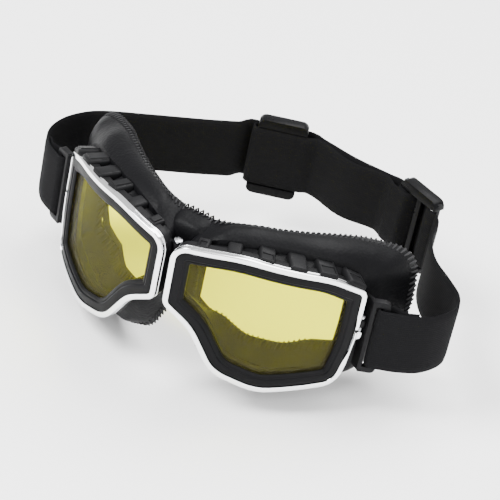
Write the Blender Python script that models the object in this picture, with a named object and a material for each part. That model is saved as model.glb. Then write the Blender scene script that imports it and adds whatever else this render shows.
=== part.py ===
"""Motorcycle goggles: two curved lenses in split chrome rims on moulded cups, joined by a hinge at the
bridge, with a leather face cushion and a two-part webbing strap that runs through two sliders.

Everything is drawn in a face frame: x=0 is the bridge plane, y=0 the nose end of the rims, +Y points
towards the head, and z=0 is just above the nose end of the rims' lower cut-away. The last step moves the
whole model so that the bottom centre of its bounding box is the world's origin.
"""

import math

import bmesh
import bpy
from mathutils import Matrix, Vector

MM = 0.001
GAP = 0.3 * MM                     # clearance between pieces that touch
WELD = 0.003 * MM                  # corners closer than this after a cut are one corner
RIGHT, LEFT = 1, -1

# Lens shape. The rims lie on an upright cylinder, yawed back on each side of the bridge.
RIM_WIDTH = 82.0 * MM
RIM_HEIGHT = 65.2 * MM
RIM_DROP = 37.2 * MM               # how far the lowest point of the rim lies under z=0
RIM_GAP = 3.6 * MM                 # between the two rims at the bridge
WRAP_RADIUS = 113.0 * MM
WRAP_CENTRE = 40.0 * MM            # distance from the nose end at which the cylinder's axis lies square behind
HALF_YAW = math.radians(31.0)

# Rim: a channel that opens inwards and clamps bezel, lens and cup flange.
RIM_FACE = 2.9 * MM
RIM_WALL = 0.9 * MM
RIM_DEPTH = 6.4 * MM
RIM_HOOK = 2.4 * MM
RIM_HOOK_THICKNESS = 0.8 * MM
SPLIT_HEIGHT = -5.5 * MM
SPLIT_GAP = 1.6 * MM
LUG_HEIGHT = 4.2 * MM
LUG_REACH = 2.5 * MM
LUG_DEPTH = 3.4 * MM
SCREW_RADIUS = 0.7 * MM
SCREW_HEAD_RADIUS = 1.05 * MM
SCREW_HEAD_HEIGHT = 0.9 * MM

# Bezel and lens
BEZEL_OPENING = 7.9 * MM           # inset of the bezel's inner edge from the rim's outer edge
BEZEL_LIP = 0.9 * MM
LENS_THICKNESS = 1.6 * MM
LENS_SEAT = 3.1 * MM               # inset of the lens edge beyond the rim's wall

# Cup
CUP_INSET = 2.8 * MM
CUP_WALL = 2.1 * MM
CUP_FLANGE = 0.9 * MM
CUP_DEPTH = 6.8 * MM               # behind the rim, half way along
CUP_NOSE_DEPTH = 2.9 * MM
CUP_TEMPLE_DEPTH = 4.0 * MM
CUP_FLARE = 0.35
CUP_RISE = 0.25
VENT_COUNT = 6
VENT_FIRST = 11.0 * MM
VENT_LAST = 73.0 * MM
VENT_WIDTH_FIRST = 4.6 * MM
VENT_WIDTH_LAST = 8.4 * MM
VENT_HEIGHT = 2.9 * MM
VENT_WALL = 0.6 * MM

# Bridge hinge
HINGE_SETBACK = 8.9 * MM
KNUCKLE_RADIUS = 2.0 * MM
PIN_RADIUS = 0.9 * MM
HINGE_TOP = 21.0 * MM
HINGE_BOTTOM = 3.0 * MM
KNUCKLE_COUNT = 3

# Face cushion
CUSHION_HALF_WIDTH = 78.0 * MM
CUSHION_HEIGHT = 75.5 * MM
CUSHION_DROP = 46.5 * MM           # lowest point of the seam under z=0
FACE_NOSE_SETBACK = 22.5 * MM
FACE_TEMPLE_SETBACK = 77.0 * MM
FACE_BEND = 1.2                    # above 1, the face stays flat further out from the bridge
CUSHION_BULGE = 4.2 * MM
FOAM_THICKNESS = 5.5 * MM
WELL_DEPTH = 0.7                   # how far back the eye opening's edge lies, as a share of the way to the face
WELL_NOSE_DEPTH = 0.45
SADDLE_HALF_WIDTH = 4.9 * MM
SADDLE_TOP = 27.0 * MM
SADDLE_BOTTOM = -13.0 * MM
SADDLE_THICKNESS = 2.4 * MM

# Strap, brackets and sliders
STRAP_WIDTH = 29.2 * MM
STRAP_TOP = 6.6 * MM
STRAP_THICKNESS = 1.3 * MM
STRAP_TAIL = 15.0 * MM
FOLD_CENTRE = 0.45 * MM            # the centre of a fold round a bar lies this far inside the bar's edge
BRACKET_START = (74.0 * MM, 44.4 * MM)
BRACKET_ANGLE = math.radians(26.6)
BRACKET_THICKNESS = 2.6 * MM
BRACKET_SLOT = 3.0 * MM
BRACKET_BAR = 2.8 * MM
BRACKET_ARM = 2.6 * MM
SLIDER_LENGTH = 22.0 * MM
SLIDER_BAR = 2.6 * MM
SLIDER_BAR_DEPTH = 2.2 * MM
SLIDER_RAIL_HEIGHT = 4.0 * MM
SLIDER_RAIL_DEPTH = 5.4 * MM
SLIDER_STRAIGHT = 12.0 * MM
SLIDER_EASE = 4.0 * MM
SLIDER_1_CENTRE = (-16.6 * MM, 131.4 * MM)
SLIDER_1_ANGLE = math.radians(22.5)
SLIDER_2_CENTRE = (53.6 * MM, 128.0 * MM)
SLIDER_2_ANGLE = math.radians(-21.8)

# Rim outline: corners as shares of the rim's width and height, measured from its nose end and lowest
# point, each with its rounding radius.
RIM_CORNERS = (
    (0.000, 0.963, 7.5 * MM),
    (0.341, 1.000, 60.0 * MM),
    (0.805, 0.905, 40.0 * MM),
    (1.000, 0.788, 5.5 * MM),
    (1.003, 0.371, 80.0 * MM),
    (0.946, 0.072, 9.0 * MM),
    (0.537, 0.000, 25.0 * MM),
    (0.293, 0.103, 18.0 * MM),
    (0.152, 0.394, 22.0 * MM),
    (0.002, 0.518, 5.0 * MM),
)
# Cushion outlines seen from the front: the outer seam and the edge of the eye opening, as shares of the
# cushion's half width and height.
SEAM_CORNERS = (
    (0.075, 0.990, 2.0 * MM),
    (0.330, 0.985, 40.0 * MM),
    (0.680, 0.920, 40.0 * MM),
    (0.955, 0.825, 13.0 * MM),
    (1.000, 0.480, 50.0 * MM),
    (0.880, 0.130, 18.0 * MM),
    (0.620, 0.000, 25.0 * MM),
    (0.320, 0.045, 20.0 * MM),
    (0.140, 0.150, 12.0 * MM),
    (0.075, 0.310, 2.0 * MM),
)
EYE_CORNERS = (
    (0.200, 0.815, 8.0 * MM),
    (0.360, 0.845, 30.0 * MM),
    (0.680, 0.800, 30.0 * MM),
    (0.820, 0.710, 10.0 * MM),
    (0.830, 0.500, 40.0 * MM),
    (0.760, 0.285, 10.0 * MM),
    (0.560, 0.240, 25.0 * MM),
    (0.400, 0.285, 14.0 * MM),
    (0.270, 0.415, 20.0 * MM),
    (0.175, 0.520, 6.0 * MM),
)
STRAP_LEFT_ROUTE = (
    (-85.5 * MM, 49.8 * MM),
    (-90.5 * MM, 56.5 * MM),
    (-92.2 * MM, 65.5 * MM),
    (-90.0 * MM, 76.0 * MM),
    (-83.5 * MM, 86.0 * MM),
    (-66.0 * MM, 99.5 * MM),
    (-46.0 * MM, 114.0 * MM),
)
STRAP_BACK_ROUTE = ((18.0 * MM, 134.5 * MM),)
STRAP_RIGHT_ROUTE = (
    (67.6 * MM, 114.5 * MM),
    (70.2 * MM, 104.0 * MM),
    (77.5 * MM, 92.5 * MM),
    (88.5 * MM, 83.5 * MM),
    (96.0 * MM, 76.5 * MM),
    (98.8 * MM, 68.0 * MM),
    (94.6 * MM, 56.5 * MM),
    (87.0 * MM, 50.0 * MM),
)

ARC_STEP = math.radians(15.0)
RIM_STEP = 7.0 * MM
LENS_STEP = 7.0 * MM
ROUTE_STEP = 4.0 * MM


# ---------------------------------------------------------------- scene and materials

def clear_scene():
    for obj in list(bpy.data.objects):
        bpy.data.objects.remove(obj, do_unlink=True)


def make_material(name, colour, roughness, metallic=0.0, transmission=0.0):
    material = bpy.data.materials.new(name)
    material.use_nodes = True
    shader = material.node_tree.nodes["Principled BSDF"]
    shader.inputs["Base Color"].default_value = (*colour, 1.0)
    shader.inputs["Roughness"].default_value = roughness
    shader.inputs["Metallic"].default_value = metallic
    shader.inputs["Transmission Weight"].default_value = transmission
    return material


def make_body(name, location=(0.0, 0.0, 0.0), parent=None):
    """An empty that carries the pieces of one moving body, at its joint."""
    body = bpy.data.objects.new(name, None)
    bpy.context.scene.collection.objects.link(body)
    offset = Vector(location)
    if parent is not None:
        body.parent = parent
        offset -= parent.matrix_world.translation
    body.location = offset
    bpy.context.view_layer.update()
    return body


def add_object(name, bm, material, body=None):
    """Makes an object of a bmesh drawn in the face frame, with its origin at its body's."""
    bmesh.ops.recalc_face_normals(bm, faces=bm.faces)
    if bm.calc_volume(signed=True) < 0:
        bmesh.ops.reverse_faces(bm, faces=bm.faces)
    if body is not None:
        bmesh.ops.translate(bm, verts=bm.verts, vec=-body.matrix_world.translation)
    mesh = bpy.data.meshes.new(name)
    bm.to_mesh(mesh)
    bm.free()
    mesh.materials.append(material)
    obj = bpy.data.objects.new(name, mesh)
    bpy.context.scene.collection.objects.link(obj)
    if body is not None:
        obj.parent = body
    mesh.shade_smooth()
    mesh.set_sharp_from_angle(angle=math.radians(35.0))
    return obj


def joined(shapes):
    """One bmesh of several that stand clear of each other."""
    bm = shapes[0]
    for shape in shapes[1:]:
        mesh = bpy.data.meshes.new("part")
        shape.to_mesh(mesh)
        shape.free()
        bm.from_mesh(mesh)
        bpy.data.meshes.remove(mesh)
    return bm


def combine(obj, shapes, operation):
    """Joins shapes to the object, or cuts them away, with an exact Boolean that is applied at once."""
    body = obj.parent
    tool = add_object("tool", joined(shapes), obj.data.materials[0], body)
    modifier = obj.modifiers.new(operation, "BOOLEAN")
    modifier.operation = operation
    modifier.solver = "EXACT"
    modifier.object = tool
    bpy.context.view_layer.update()
    evaluated = obj.evaluated_get(bpy.context.evaluated_depsgraph_get())
    result = bpy.data.meshes.new_from_object(evaluated)
    obj.modifiers.clear()
    spent = obj.data
    obj.data = result
    bpy.data.meshes.remove(spent)
    bpy.data.objects.remove(tool, do_unlink=True)
    bm = bmesh.new()
    bm.from_mesh(result)
    bmesh.ops.triangulate(bm, faces=bm.faces[:])
    bmesh.ops.remove_doubles(bm, verts=bm.verts[:], dist=WELD)
    bmesh.ops.dissolve_degenerate(bm, edges=bm.edges[:], dist=WELD)
    bm.to_mesh(result)
    bm.free()


# ---------------------------------------------------------------- outlines

def corner_points(corners, width, height, drop):
    return [(Vector((u * width, v * height - drop)), radius) for u, v, radius in corners]


def turn_at(before, corner, after):
    """Signed turn of the outline at a corner; clockwise is positive."""
    entry, leave = corner - before, after - corner
    return -math.atan2(entry.x * leave.y - entry.y * leave.x, entry.dot(leave))


def outline_plan(corners):
    """How many arc pieces each corner gets and how many pieces the straight stretch after it gets."""
    plan = []
    for i, (corner, _) in enumerate(corners):
        before, after = corners[i - 1][0], corners[(i + 1) % len(corners)][0]
        arcs = max(2, math.ceil(abs(turn_at(before, corner, after)) / ARC_STEP))
        plan.append((arcs, max(1, round((after - corner).length / RIM_STEP) - 1)))
    return plan


def inset_corners(corners, inset):
    """Moves every edge of a clockwise outline inwards and returns its new corners and radii."""
    moved = []
    for i, (corner, radius) in enumerate(corners):
        before, after = corners[i - 1][0], corners[(i + 1) % len(corners)][0]
        entry, leave = (corner - before).normalized(), (after - corner).normalized()
        inward_entry, inward_leave = Vector((entry.y, -entry.x)), Vector((leave.y, -leave.x))
        shift = (inward_entry + inward_leave) / (1.0 + inward_entry.dot(inward_leave))
        convex = turn_at(before, corner, after) > 0
        new_radius = radius - inset if convex else radius + inset
        moved.append((corner + shift * inset, max(new_radius, 1.2 * MM)))
    return moved


def rounded_outline(corners, plan):
    """Points of an outline with rounded corners; equal plans give outlines that match point for point."""
    arcs = []
    for i, (corner, radius) in enumerate(corners):
        before, after = corners[i - 1][0], corners[(i + 1) % len(corners)][0]
        entry, leave = (corner - before).normalized(), (after - corner).normalized()
        turn = turn_at(before, corner, after)
        reach = radius * math.tan(abs(turn) / 2)
        centre = corner - entry * reach + Vector((entry.y, -entry.x)) * math.copysign(radius, turn)
        start = corner - entry * reach - centre
        points = []
        for k in range(plan[i][0] + 1):
            angle = -turn * k / plan[i][0]
            points.append(centre + Matrix.Rotation(angle, 2) @ start)
        arcs.append(points)
    outline = []
    for i, points in enumerate(arcs):
        outline.extend(points)
        following = arcs[(i + 1) % len(arcs)][0]
        pieces = plan[i][1]
        outline.extend(points[-1].lerp(following, k / pieces) for k in range(1, pieces))
    return outline


RIM_BASE = corner_points(RIM_CORNERS, RIM_WIDTH, RIM_HEIGHT, RIM_DROP)
RIM_PLAN = outline_plan(RIM_BASE)
SEAM_BASE = corner_points(SEAM_CORNERS, CUSHION_HALF_WIDTH, CUSHION_HEIGHT, CUSHION_DROP)
EYE_BASE = corner_points(EYE_CORNERS, CUSHION_HALF_WIDTH, CUSHION_HEIGHT, CUSHION_DROP)


def rim_outline(inset):
    return rounded_outline(inset_corners(RIM_BASE, inset), RIM_PLAN)


def smoothstep(value):
    value = min(1.0, max(0.0, value))
    return value * value * (3.0 - 2.0 * value)


def wrap(u, v, depth, side):
    """A point of the lens surface, u along it from the nose end, v up and depth behind its front."""
    def flat(distance, behind):
        angle = (distance - WRAP_CENTRE) / WRAP_RADIUS
        return Vector((
            (WRAP_RADIUS - behind) * math.sin(angle),
            WRAP_RADIUS - (WRAP_RADIUS - behind) * math.cos(angle),
        ))
    place = Matrix.Rotation(HALF_YAW, 2) @ (flat(u, depth) - flat(0.0, 0.0))
    return Vector((side * (place.x + RIM_GAP / 2), place.y, v))


def behind_rim(uv, behind, side):
    """A point straight back from the plane just behind the rim, flaring towards the temple."""
    start = wrap(uv.x, uv.y, RIM_DEPTH + GAP, side)
    middle = RIM_HEIGHT / 2 - RIM_DROP
    flare = CUP_FLARE * uv.x / RIM_WIDTH * side
    rise = CUP_RISE * (uv.y - middle) / (RIM_HEIGHT / 2)
    return start + Vector((flare, 1.0, rise)) * behind


def cup_depth(u):
    """How far the cup's wall runs back behind the rim, at a distance along the rim."""
    share = u / RIM_WIDTH
    rising = CUP_NOSE_DEPTH + (CUP_DEPTH - CUP_NOSE_DEPTH) * smoothstep((share - 0.15) / 0.45)
    return rising + (CUP_TEMPLE_DEPTH - CUP_DEPTH) * smoothstep((share - 0.89) / 0.09)


def face_setback(x):
    """How far behind the rims' nose end the wearer's face lies at this distance from the bridge."""
    share = smoothstep((abs(x) / CUSHION_HALF_WIDTH) ** FACE_BEND)
    return FACE_NOSE_SETBACK + (FACE_TEMPLE_SETBACK - FACE_NOSE_SETBACK) * share


# ---------------------------------------------------------------- mesh helpers

def ring_bmesh(sections, closed=True):
    """Skins closed cross-sections one after the other; an open run gets end caps."""
    bm = bmesh.new()
    rings = [[bm.verts.new(point) for point in section] for section in sections]
    count = len(rings)
    for i in range(count if closed else count - 1):
        here, there = rings[i], rings[(i + 1) % count]
        for k in range(len(here)):
            n = (k + 1) % len(here)
            bm.faces.new((here[k], here[n], there[n], there[k]))
    if not closed:
        bm.faces.new(rings[0])
        bm.faces.new(list(reversed(rings[-1])))
    bmesh.ops.triangulate(bm, faces=bm.faces[:])
    return bm


def prism_bmesh(outline, low, high):
    """An upright prism over a plan outline."""
    bm = bmesh.new()
    bottom = [bm.verts.new((x, y, low)) for x, y in outline]
    face = bm.faces.new(bottom)
    top = bmesh.ops.extrude_face_region(bm, geom=[face])["geom"]
    raised = [item for item in top if isinstance(item, bmesh.types.BMVert)]
    bmesh.ops.translate(bm, verts=raised, vec=(0.0, 0.0, high - low))
    return bm


def box_bmesh(centre, axes, sizes, bevel=0.0):
    """A box around a centre, along three perpendicular unit vectors."""
    bm = bmesh.new()
    bmesh.ops.create_cube(bm, size=1.0)
    bmesh.ops.scale(bm, vec=sizes, verts=bm.verts)
    if bevel > 0:
        bmesh.ops.bevel(
            bm, geom=bm.edges[:], offset=bevel, offset_type="OFFSET", segments=2,
            profile=0.5, affect="EDGES", material=-1,
        )
    turn = Matrix((axes[0], axes[1], axes[2])).transposed().to_4x4()
    bmesh.ops.transform(bm, matrix=Matrix.Translation(centre) @ turn, verts=bm.verts)
    return bm


def rod_bmesh(centre, radius, low, high, segments=24):
    """An upright round rod."""
    bm = bmesh.new()
    bmesh.ops.create_cone(
        bm, cap_ends=True, segments=segments, radius1=radius, radius2=radius, depth=high - low,
    )
    bmesh.ops.translate(bm, verts=bm.verts, vec=(centre[0], centre[1], (low + high) / 2))
    return bm


# ---------------------------------------------------------------- rim, bezel and lens

def split_stretch():
    """Index of the temple stretch that holds the split, and where along it each face of the split lies."""
    outline = rim_outline(0.0)
    for i, here in enumerate(outline):
        there = outline[(i + 1) % len(outline)]
        if here.x > RIM_WIDTH / 2 and here.y > SPLIT_HEIGHT >= there.y:
            upper = (here.y - SPLIT_HEIGHT - SPLIT_GAP / 2) / (here.y - there.y)
            lower = (here.y - SPLIT_HEIGHT + SPLIT_GAP / 2) / (here.y - there.y)
            return i, upper, lower


def make_rim(name, side, material, body):
    profile = (
        (0.0, 0.0), (RIM_FACE, 0.0), (RIM_FACE, RIM_WALL), (RIM_WALL, RIM_WALL),
        (RIM_WALL, RIM_DEPTH - RIM_HOOK_THICKNESS), (RIM_HOOK, RIM_DEPTH - RIM_HOOK_THICKNESS),
        (RIM_HOOK, RIM_DEPTH), (0.0, RIM_DEPTH),
    )
    outlines = [rim_outline(inset) for inset, _ in profile]
    stretch, upper, lower = split_stretch()
    count = len(outlines[0])

    def section(index, share=0.0):
        return [
            wrap(*outline[index % count].lerp(outline[(index + 1) % count], share), depth, side)
            for outline, (_, depth) in zip(outlines, profile)
        ]

    sections = [section(stretch, lower)]
    sections.extend(section(stretch + 1 + k) for k in range(count))
    sections.append(section(stretch, upper))
    rim = add_object(name, ring_bmesh(sections, closed=False), material, body)
    lug_bottoms = (SPLIT_HEIGHT - SPLIT_GAP / 2 - LUG_HEIGHT, SPLIT_HEIGHT + SPLIT_GAP / 2)
    combine(rim, [lug_bmesh(side, bottom) for bottom in lug_bottoms], "UNION")
    axis = screw_axis(side)
    hole = rod_bmesh(axis, SCREW_RADIUS + GAP, SPLIT_HEIGHT - SPLIT_GAP / 2 - LUG_HEIGHT - 1.0 * MM,
                     SPLIT_HEIGHT + SPLIT_GAP / 2 + LUG_HEIGHT + 1.0 * MM, segments=12)
    combine(rim, [hole], "DIFFERENCE")
    return rim


def temple_frame(side):
    """Plan directions at the split: outwards along the rim's wall normal, and back along its depth."""
    edge = wrap(RIM_WIDTH, SPLIT_HEIGHT, 0.0, side)
    outward = (wrap(RIM_WIDTH + 1.0 * MM, SPLIT_HEIGHT, 0.0, side) - edge).normalized()
    back = (wrap(RIM_WIDTH, SPLIT_HEIGHT, 1.0 * MM, side) - edge).normalized()
    return edge, outward, back


def lug_bmesh(side, bottom):
    edge, outward, back = temple_frame(side)
    up = Vector((0.0, 0.0, 1.0))
    reach = LUG_REACH + RIM_WALL
    centre = edge + outward * (reach / 2 - RIM_WALL * 0.9) + back * (0.2 * MM + LUG_DEPTH / 2)
    centre.z = bottom + LUG_HEIGHT / 2
    return box_bmesh(centre, (outward, back, up), (reach, LUG_DEPTH, LUG_HEIGHT))


def screw_axis(side):
    edge, outward, back = temple_frame(side)
    place = edge + outward * (LUG_REACH / 2 + 0.1 * MM) + back * (0.2 * MM + LUG_DEPTH / 2)
    return place.x, place.y


def make_rim_screw(name, side, material, body):
    centre = screw_axis(side)
    top = SPLIT_HEIGHT + SPLIT_GAP / 2 + LUG_HEIGHT + GAP
    bottom = SPLIT_HEIGHT - SPLIT_GAP / 2 - LUG_HEIGHT
    screw = add_object(
        name, rod_bmesh(centre, SCREW_RADIUS, bottom, top + 0.1 * MM, segments=12), material, body
    )
    head = rod_bmesh(centre, SCREW_HEAD_RADIUS, top, top + SCREW_HEAD_HEIGHT)
    combine(screw, [head], "UNION")
    slot_centre = Vector((centre[0], centre[1], top + SCREW_HEAD_HEIGHT))
    axes = (Vector((1, 0, 0)), Vector((0, 1, 0)), Vector((0, 0, 1)))
    combine(screw, [box_bmesh(slot_centre, axes, (4.0 * MM, 0.5 * MM, 0.9 * MM))], "DIFFERENCE")
    return screw


def make_bezel(name, side, material, body):
    outer = RIM_WALL + GAP
    front = RIM_WALL + GAP
    seat = RIM_WALL + LENS_SEAT
    lens_front = front + BEZEL_LIP
    profile = (
        (outer, front), (RIM_FACE + GAP, front), (RIM_FACE + GAP, 0.5 * MM),
        (RIM_FACE + 1.9 * MM, 0.5 * MM), (RIM_FACE + 1.9 * MM, front), (BEZEL_OPENING, front + 0.2 * MM),
        (BEZEL_OPENING, lens_front), (seat, lens_front), (seat, lens_front + LENS_THICKNESS + GAP),
        (outer, lens_front + LENS_THICKNESS + GAP),
    )
    outlines = [rim_outline(inset) for inset, _ in profile]
    sections = [
        [wrap(*outline[i], depth, side) for outline, (_, depth) in zip(outlines, profile)]
        for i in range(len(outlines[0]))
    ]
    return add_object(name, ring_bmesh(sections), material, body)


def make_lens(name, side, material, body):
    """A flat blank cut into strips, then wrapped onto the cylinder."""
    front = RIM_WALL + GAP + BEZEL_LIP + GAP
    outline = rim_outline(RIM_WALL + LENS_SEAT + GAP)
    bm = prism_bmesh(outline, 0.0, LENS_THICKNESS - GAP)
    for k in range(1, int(RIM_WIDTH / LENS_STEP) + 1):
        bmesh.ops.bisect_plane(
            bm, geom=bm.verts[:] + bm.edges[:] + bm.faces[:], dist=1e-6,
            plane_co=(k * LENS_STEP, 0.0, 0.0), plane_no=(1.0, 0.0, 0.0),
        )
    for vert in bm.verts:
        vert.co = wrap(vert.co.x, vert.co.y, front + vert.co.z, side)
    bmesh.ops.triangulate(bm, faces=bm.faces[:])
    return add_object(name, bm, material, body)


# ---------------------------------------------------------------- cup

def cup_front():
    """Depth of the face of the cup that the lens rests against."""
    return RIM_DEPTH - RIM_HOOK_THICKNESS - GAP - CUP_FLANGE


def make_cup(name, side, material, body):
    flange_front = cup_front()
    flange_back = flange_front + CUP_FLANGE
    lip = rim_outline(RIM_WALL + GAP)
    opening = rim_outline(BEZEL_OPENING - 0.3 * MM)
    outer = rim_outline(CUP_INSET)
    inner = rim_outline(CUP_INSET + CUP_WALL)
    sections = []
    for i, rim_point in enumerate(outer):
        depth = cup_depth(rim_point.x)
        sections.append([
            wrap(*lip[i], flange_front, side),
            wrap(*opening[i], flange_front, side),
            wrap(*opening[i], flange_back, side),
            behind_rim(inner[i], 0.0, side),
            behind_rim(inner[i], depth, side),
            behind_rim(outer[i], depth, side),
            behind_rim(outer[i], 0.0, side),
            wrap(*outer[i], flange_back, side),
            wrap(*lip[i], flange_back, side),
        ])
    cup = add_object(name, ring_bmesh(sections), material, body)
    add_vents(cup, side)
    add_bracket(cup, side)
    add_knuckles(cup, side)
    return cup


def top_edge_point(distance, inset):
    """The point of the upper outline at this distance from the nose end."""
    outline = rim_outline(inset)
    middle = RIM_HEIGHT / 2 - RIM_DROP
    for here, there in zip(outline, outline[1:]):
        if here.x <= distance <= there.x and here.y > middle:
            return here.lerp(there, (distance - here.x) / (there.x - here.x))


def add_vents(cup, side):
    """Scoops along the top of the cup, growing towards the temple, each open to the nose side."""
    hoods, chambers, mouths = [], [], []
    for k in range(VENT_COUNT):
        share = k / (VENT_COUNT - 1)
        distance = VENT_FIRST + (VENT_LAST - VENT_FIRST) * share
        width = VENT_WIDTH_FIRST + (VENT_WIDTH_LAST - VENT_WIDTH_FIRST) * share
        depth = cup_depth(distance)
        base = top_edge_point(distance, CUP_INSET)
        beside = top_edge_point(distance + 1.0 * MM, CUP_INSET)
        foot = behind_rim(base, depth / 2, side)
        along = (behind_rim(beside, depth / 2, side) - foot).normalized()
        back = Vector((-along.y, along.x, 0.0)).normalized() * side
        inset = 0.3 * MM
        run = (behind_rim(base, depth - inset, side) - behind_rim(base, inset, side)).dot(back)
        up = along.cross(back) * side
        axes = (along, back, up)
        sink = 1.0 * MM
        height = VENT_HEIGHT + sink
        centre = foot + up * (VENT_HEIGHT - sink) / 2
        hoods.append(box_bmesh(centre, axes, (width, run, height), 0.6 * MM))
        chamber = centre - up * (VENT_WALL / 2 + 1.2 * MM)
        hollow = (width - 2 * VENT_WALL, run - 2 * VENT_WALL, height + 2.4 * MM - VENT_WALL)
        chambers.append(box_bmesh(chamber, axes, hollow))
        mouth_height = VENT_HEIGHT - VENT_WALL - 0.3 * MM
        mouth = foot - along * width / 2 + up * (0.3 * MM + mouth_height / 2)
        mouth_size = (2.6 * VENT_WALL, run - 2 * VENT_WALL - 0.2 * MM, mouth_height)
        mouths.append(box_bmesh(mouth, axes, mouth_size))
    combine(cup, hoods, "UNION")
    combine(cup, chambers, "DIFFERENCE")
    combine(cup, mouths, "DIFFERENCE")


def bracket_frame(side):
    """Start of the bracket's slot, and its plan directions outwards and back."""
    start = Vector((side * BRACKET_START[0], BRACKET_START[1], 0.0))
    outward = Vector((side * math.cos(BRACKET_ANGLE), math.sin(BRACKET_ANGLE), 0.0))
    back = Vector((-side * math.sin(BRACKET_ANGLE), math.cos(BRACKET_ANGLE), 0.0))
    return start, outward, back


def add_bracket(cup, side):
    """The strap bracket: a shoulder behind the rim, and a loop of two bars and two arms."""
    start, outward, back = bracket_frame(side)
    low = STRAP_TOP - STRAP_WIDTH - 0.6 * MM - BRACKET_ARM
    high = STRAP_TOP + 0.6 * MM + BRACKET_ARM
    reach = BRACKET_SLOT + BRACKET_BAR
    height = STRAP_TOP - STRAP_WIDTH / 2
    root = Vector((RIM_WIDTH - CUP_INSET - 0.6 * MM, height))
    shoulder = [
        start - outward * 1.5 * MM + back * 0.2 * MM, start + back * 0.2 * MM,
        start + back * (BRACKET_THICKNESS - 0.2 * MM),
        wrap(RIM_WIDTH + LUG_REACH, height, RIM_DEPTH + 0.4 * MM, side),
        behind_rim(root, CUP_TEMPLE_DEPTH * 0.45, side),
        wrap(*root, RIM_DEPTH + 2 * GAP, side),
        wrap(RIM_WIDTH + 2 * GAP, height, RIM_DEPTH + 2 * GAP, side),
        wrap(RIM_WIDTH + 2 * GAP, height, LUG_DEPTH + 4 * GAP, side),
        wrap(RIM_WIDTH + LUG_REACH + GAP, height, LUG_DEPTH + 2 * GAP, side),
    ]
    outline = [(place.x, place.y) for place in shoulder]
    combine(cup, [prism_bmesh(outline, low + 0.4 * MM, high - 0.4 * MM)], "UNION")
    up = Vector((0.0, 0.0, 1.0))
    middle = start + outward * (reach / 2 - 0.7 * MM) + back * BRACKET_THICKNESS / 2
    plate_size = (reach + 1.4 * MM, BRACKET_THICKNESS, high - low)
    middle.z = (low + high) / 2
    plate = box_bmesh(middle, (outward, back, up), plate_size)
    upright = [edge for edge in plate.edges if is_outer_corner(edge, middle, outward, up)]
    bmesh.ops.bevel(plate, geom=upright, offset=2.4 * MM, offset_type="OFFSET", segments=4,
                    profile=0.5, affect="EDGES", material=-1)
    combine(cup, [plate], "UNION")
    slot = start + outward * BRACKET_SLOT / 2 + back * BRACKET_THICKNESS / 2
    slot.z = STRAP_TOP - STRAP_WIDTH / 2
    slot_size = (BRACKET_SLOT, BRACKET_THICKNESS * 3, STRAP_WIDTH + 1.2 * MM)
    combine(cup, [box_bmesh(slot, (outward, back, up), slot_size)], "DIFFERENCE")


def is_outer_corner(edge, middle, outward, up):
    """Whether an edge of the bracket plate is one of its two outer corners, seen from the front."""
    place = (edge.verts[0].co + edge.verts[1].co) / 2 - middle
    run = (edge.verts[1].co - edge.verts[0].co).normalized()
    across = abs(run.dot(outward)) < 0.1 and abs(run.dot(up)) < 0.1
    return across and place.dot(outward) > 0


def add_knuckles(cup, side):
    """Hinge knuckles in turn from the two cups, each on a tab that reaches over from the cup's wall."""
    pitch = (HINGE_TOP - HINGE_BOTTOM) / KNUCKLE_COUNT
    tabs, barrels = [], []
    for k in range(KNUCKLE_COUNT):
        if (k % 2 == 0) != (side == LEFT):
            continue
        low = HINGE_BOTTOM + k * pitch + GAP / 2
        high = HINGE_BOTTOM + (k + 1) * pitch - GAP / 2
        barrels.append(rod_bmesh((0.0, HINGE_SETBACK), KNUCKLE_RADIUS, low, high, segments=20))
        tab_end = RIM_GAP / 2 + CUP_INSET
        tab = [
            (0.0, HINGE_SETBACK - 0.9 * MM), (side * tab_end, HINGE_SETBACK - 1.4 * MM),
            (side * tab_end, HINGE_SETBACK + 0.3 * MM), (0.0, HINGE_SETBACK + 0.9 * MM),
        ]
        tabs.append(prism_bmesh(tab, low + 0.05 * MM, high - 0.05 * MM))
    combine(cup, tabs, "UNION")
    combine(cup, barrels, "UNION")
    bore = rod_bmesh(
        (0.0, HINGE_SETBACK), PIN_RADIUS + GAP / 3, HINGE_BOTTOM - 2.0 * MM, HINGE_TOP + 2.0 * MM,
    )
    combine(cup, [bore], "DIFFERENCE")


def make_hinge_pin(name, material, body):
    pin = add_object(
        name,
        rod_bmesh((0.0, HINGE_SETBACK), PIN_RADIUS, HINGE_BOTTOM - 0.8 * MM, HINGE_TOP + GAP + 0.1 * MM),
        material, body,
    )
    head = rod_bmesh((0.0, HINGE_SETBACK), KNUCKLE_RADIUS * 0.9, HINGE_TOP + GAP, HINGE_TOP + 1.3 * MM)
    combine(pin, [head], "UNION")
    return pin


# ---------------------------------------------------------------- cushion

def face_point(outline_point, side):
    return Vector((side * outline_point.x, face_setback(outline_point.x), outline_point.y))


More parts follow.
